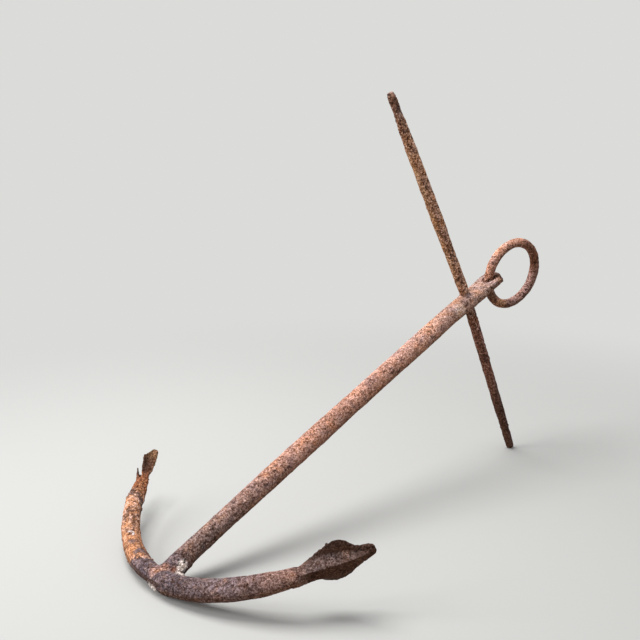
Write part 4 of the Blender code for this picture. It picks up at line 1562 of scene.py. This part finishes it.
def make_floor(settings):
    """A pale round floor that fades into the plain backdrop, and is not there when seen from below."""
    mesh = bmesh.new()
    bmesh.ops.create_circle(mesh, cap_ends=True, segments=96, radius=FLOOR_RADIUS)
    data = bpy.data.meshes.new("floor")
    mesh.to_mesh(data)
    mesh.free()
    obj = new_object("floor", data)
    material = bpy.data.materials.new("plain_floor")
    material.use_nodes = True
    tree = material.node_tree
    shader = node_of(tree, "BSDF_PRINCIPLED")
    output = node_of(tree, "OUTPUT_MATERIAL")
    shader.inputs["Base Color"].default_value = (*settings.floor, 1.0)
    shader.inputs["Roughness"].default_value = 0.9
    where = add(tree, "ShaderNodeTexCoord").outputs["Object"]
    away = add(tree, "ShaderNodeVectorMath", {0: where}, operation="LENGTH").outputs["Value"]
    seen = add(tree, "ShaderNodeLightPath").outputs["Is Camera Ray"]
    far = times(tree, ramp(tree, away, *FLOOR_FADE), seen)
    glow = add(tree, "ShaderNodeEmission", {"Color": (*settings.backdrop, 1.0), "Strength": 1.0}).outputs[0]
    faded = add(tree, "ShaderNodeMixShader", {0: far, 1: shader.outputs[0], 2: glow}).outputs[0]
    behind = add(tree, "ShaderNodeNewGeometry").outputs["Backfacing"]
    clear = add(tree, "ShaderNodeBsdfTransparent").outputs[0]
    whole = add(tree, "ShaderNodeMixShader", {0: behind, 1: faded, 2: clear}).outputs[0]
    tree.links.new(whole, output.inputs["Surface"])
    data.materials.append(material)
    obj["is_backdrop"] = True


def make_lights(settings):
    """One large soft lamp overhead, a weaker one on the left, and even light all round."""
    ahead, right = level_directions(settings)
    middle = (CAD_LOW + CAD_HIGH) / 2
    lamps = (
        ("overhead", ahead * 0.15 - right * 0.60 + Vector((0.0, 0.0, 1.9)), settings.key),
        ("left", -ahead * 0.6 - right * 1.9 + Vector((0.0, 0.0, 1.2)), settings.side),
    )
    for name, place, power in lamps:
        lamp = bpy.data.lights.new(name, "AREA")
        lamp.size = LAMP_SIZE
        lamp.energy = power
        obj = bpy.data.objects.new(name, lamp)
        obj.location = place
        obj.rotation_euler = (middle - place).to_track_quat("-Z", "Y").to_euler()
        bpy.context.scene.collection.objects.link(obj)
    world = bpy.data.worlds.new("even_light")
    world.use_nodes = True
    tree = world.node_tree
    sky = node_of(tree, "BACKGROUND")
    output = node_of(tree, "OUTPUT_WORLD")
    sky.inputs["Color"].default_value = (1.0, 1.0, 1.0, 1.0)
    sky.inputs["Strength"].default_value = settings.sky
    feeds = {"Color": (*settings.backdrop, 1.0), "Strength": 1.0}
    plain = add(tree, "ShaderNodeBackground", feeds).outputs[0]
    path = add(tree, "ShaderNodeLightPath").outputs
    seen = calc(tree, "MAXIMUM", path["Is Camera Ray"], path["Is Transmission Ray"])
    both = add(tree, "ShaderNodeMixShader", {0: seen, 1: sky.outputs[0], 2: plain}).outputs[0]
    tree.links.new(both, output.inputs["Surface"])
    bpy.context.scene.world = world


def make_camera(settings):
    ahead, right = level_directions(settings)
    camera = bpy.data.cameras.new("camera")
    camera.sensor_width = 36.0
    camera.lens = settings.lens
    obj = bpy.data.objects.new("camera", camera)
    obj.location = -ahead * settings.distance - right * settings.aside + Vector((0.0, 0.0, settings.height))
    view = ahead * math.cos(settings.pitch) - Vector((0.0, 0.0, math.sin(settings.pitch)))
    obj.rotation_euler = view.to_track_quat("-Z", "Y").to_euler()
    bpy.context.scene.collection.objects.link(obj)
    bpy.context.scene.camera = obj


class ANCHOR_PT_panel(bpy.types.Panel):
    """The anchor's pieces, in the 3D view's sidebar"""

    bl_label = "Rusted Anchor"
    bl_idname = "ANCHOR_PT_panel"
    bl_space_type = "VIEW_3D"
    bl_region_type = "UI"
    bl_category = "Anchor"

    def draw(self, context):
        for operator in OPERATORS:
            self.layout.operator(operator.bl_idname)
        for group in ("forging", "ring", "scatter", "colours", "stage"):
            box = self.layout.box()
            box.label(text=group.capitalize())
            settings = getattr(context.scene.anchor, group)
            for label in settings.bl_rna.properties.keys():
                if label not in ("rna_type", "name"):
                    box.prop(settings, label)


OPERATORS = (
    ANCHOR_OT_forging,
    ANCHOR_OT_ring,
    ANCHOR_OT_slivers,
    ANCHOR_OT_flakes,
    ANCHOR_OT_scabs,
    ANCHOR_OT_crust,
    ANCHOR_OT_stage,
)
CLASSES = (
    ForgingSettings,
    RingSettings,
    ScatterSettings,
    RustColours,
    StageSettings,
    AnchorSettings,
    *OPERATORS,
    ANCHOR_PT_panel,
)


def register():
    for cls in CLASSES:
        bpy.utils.register_class(cls)
    bpy.types.Scene.anchor = PointerProperty(type=AnchorSettings)


def unregister():
    del bpy.types.Scene.anchor
    for cls in reversed(CLASSES):
        bpy.utils.unregister_class(cls)


def main():
    register()
    bpy.ops.anchor.forging()
    bpy.ops.anchor.ring()
    bpy.ops.anchor.slivers()
    bpy.ops.anchor.flakes()
    bpy.ops.anchor.scabs()
    bpy.ops.anchor.crust()
    bpy.ops.anchor.stage()
    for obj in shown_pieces():
        print(obj.name, sum(len(face.vertices) - 2 for face in obj.data.polygons), "triangles")


if __name__ == "__main__":
    main()
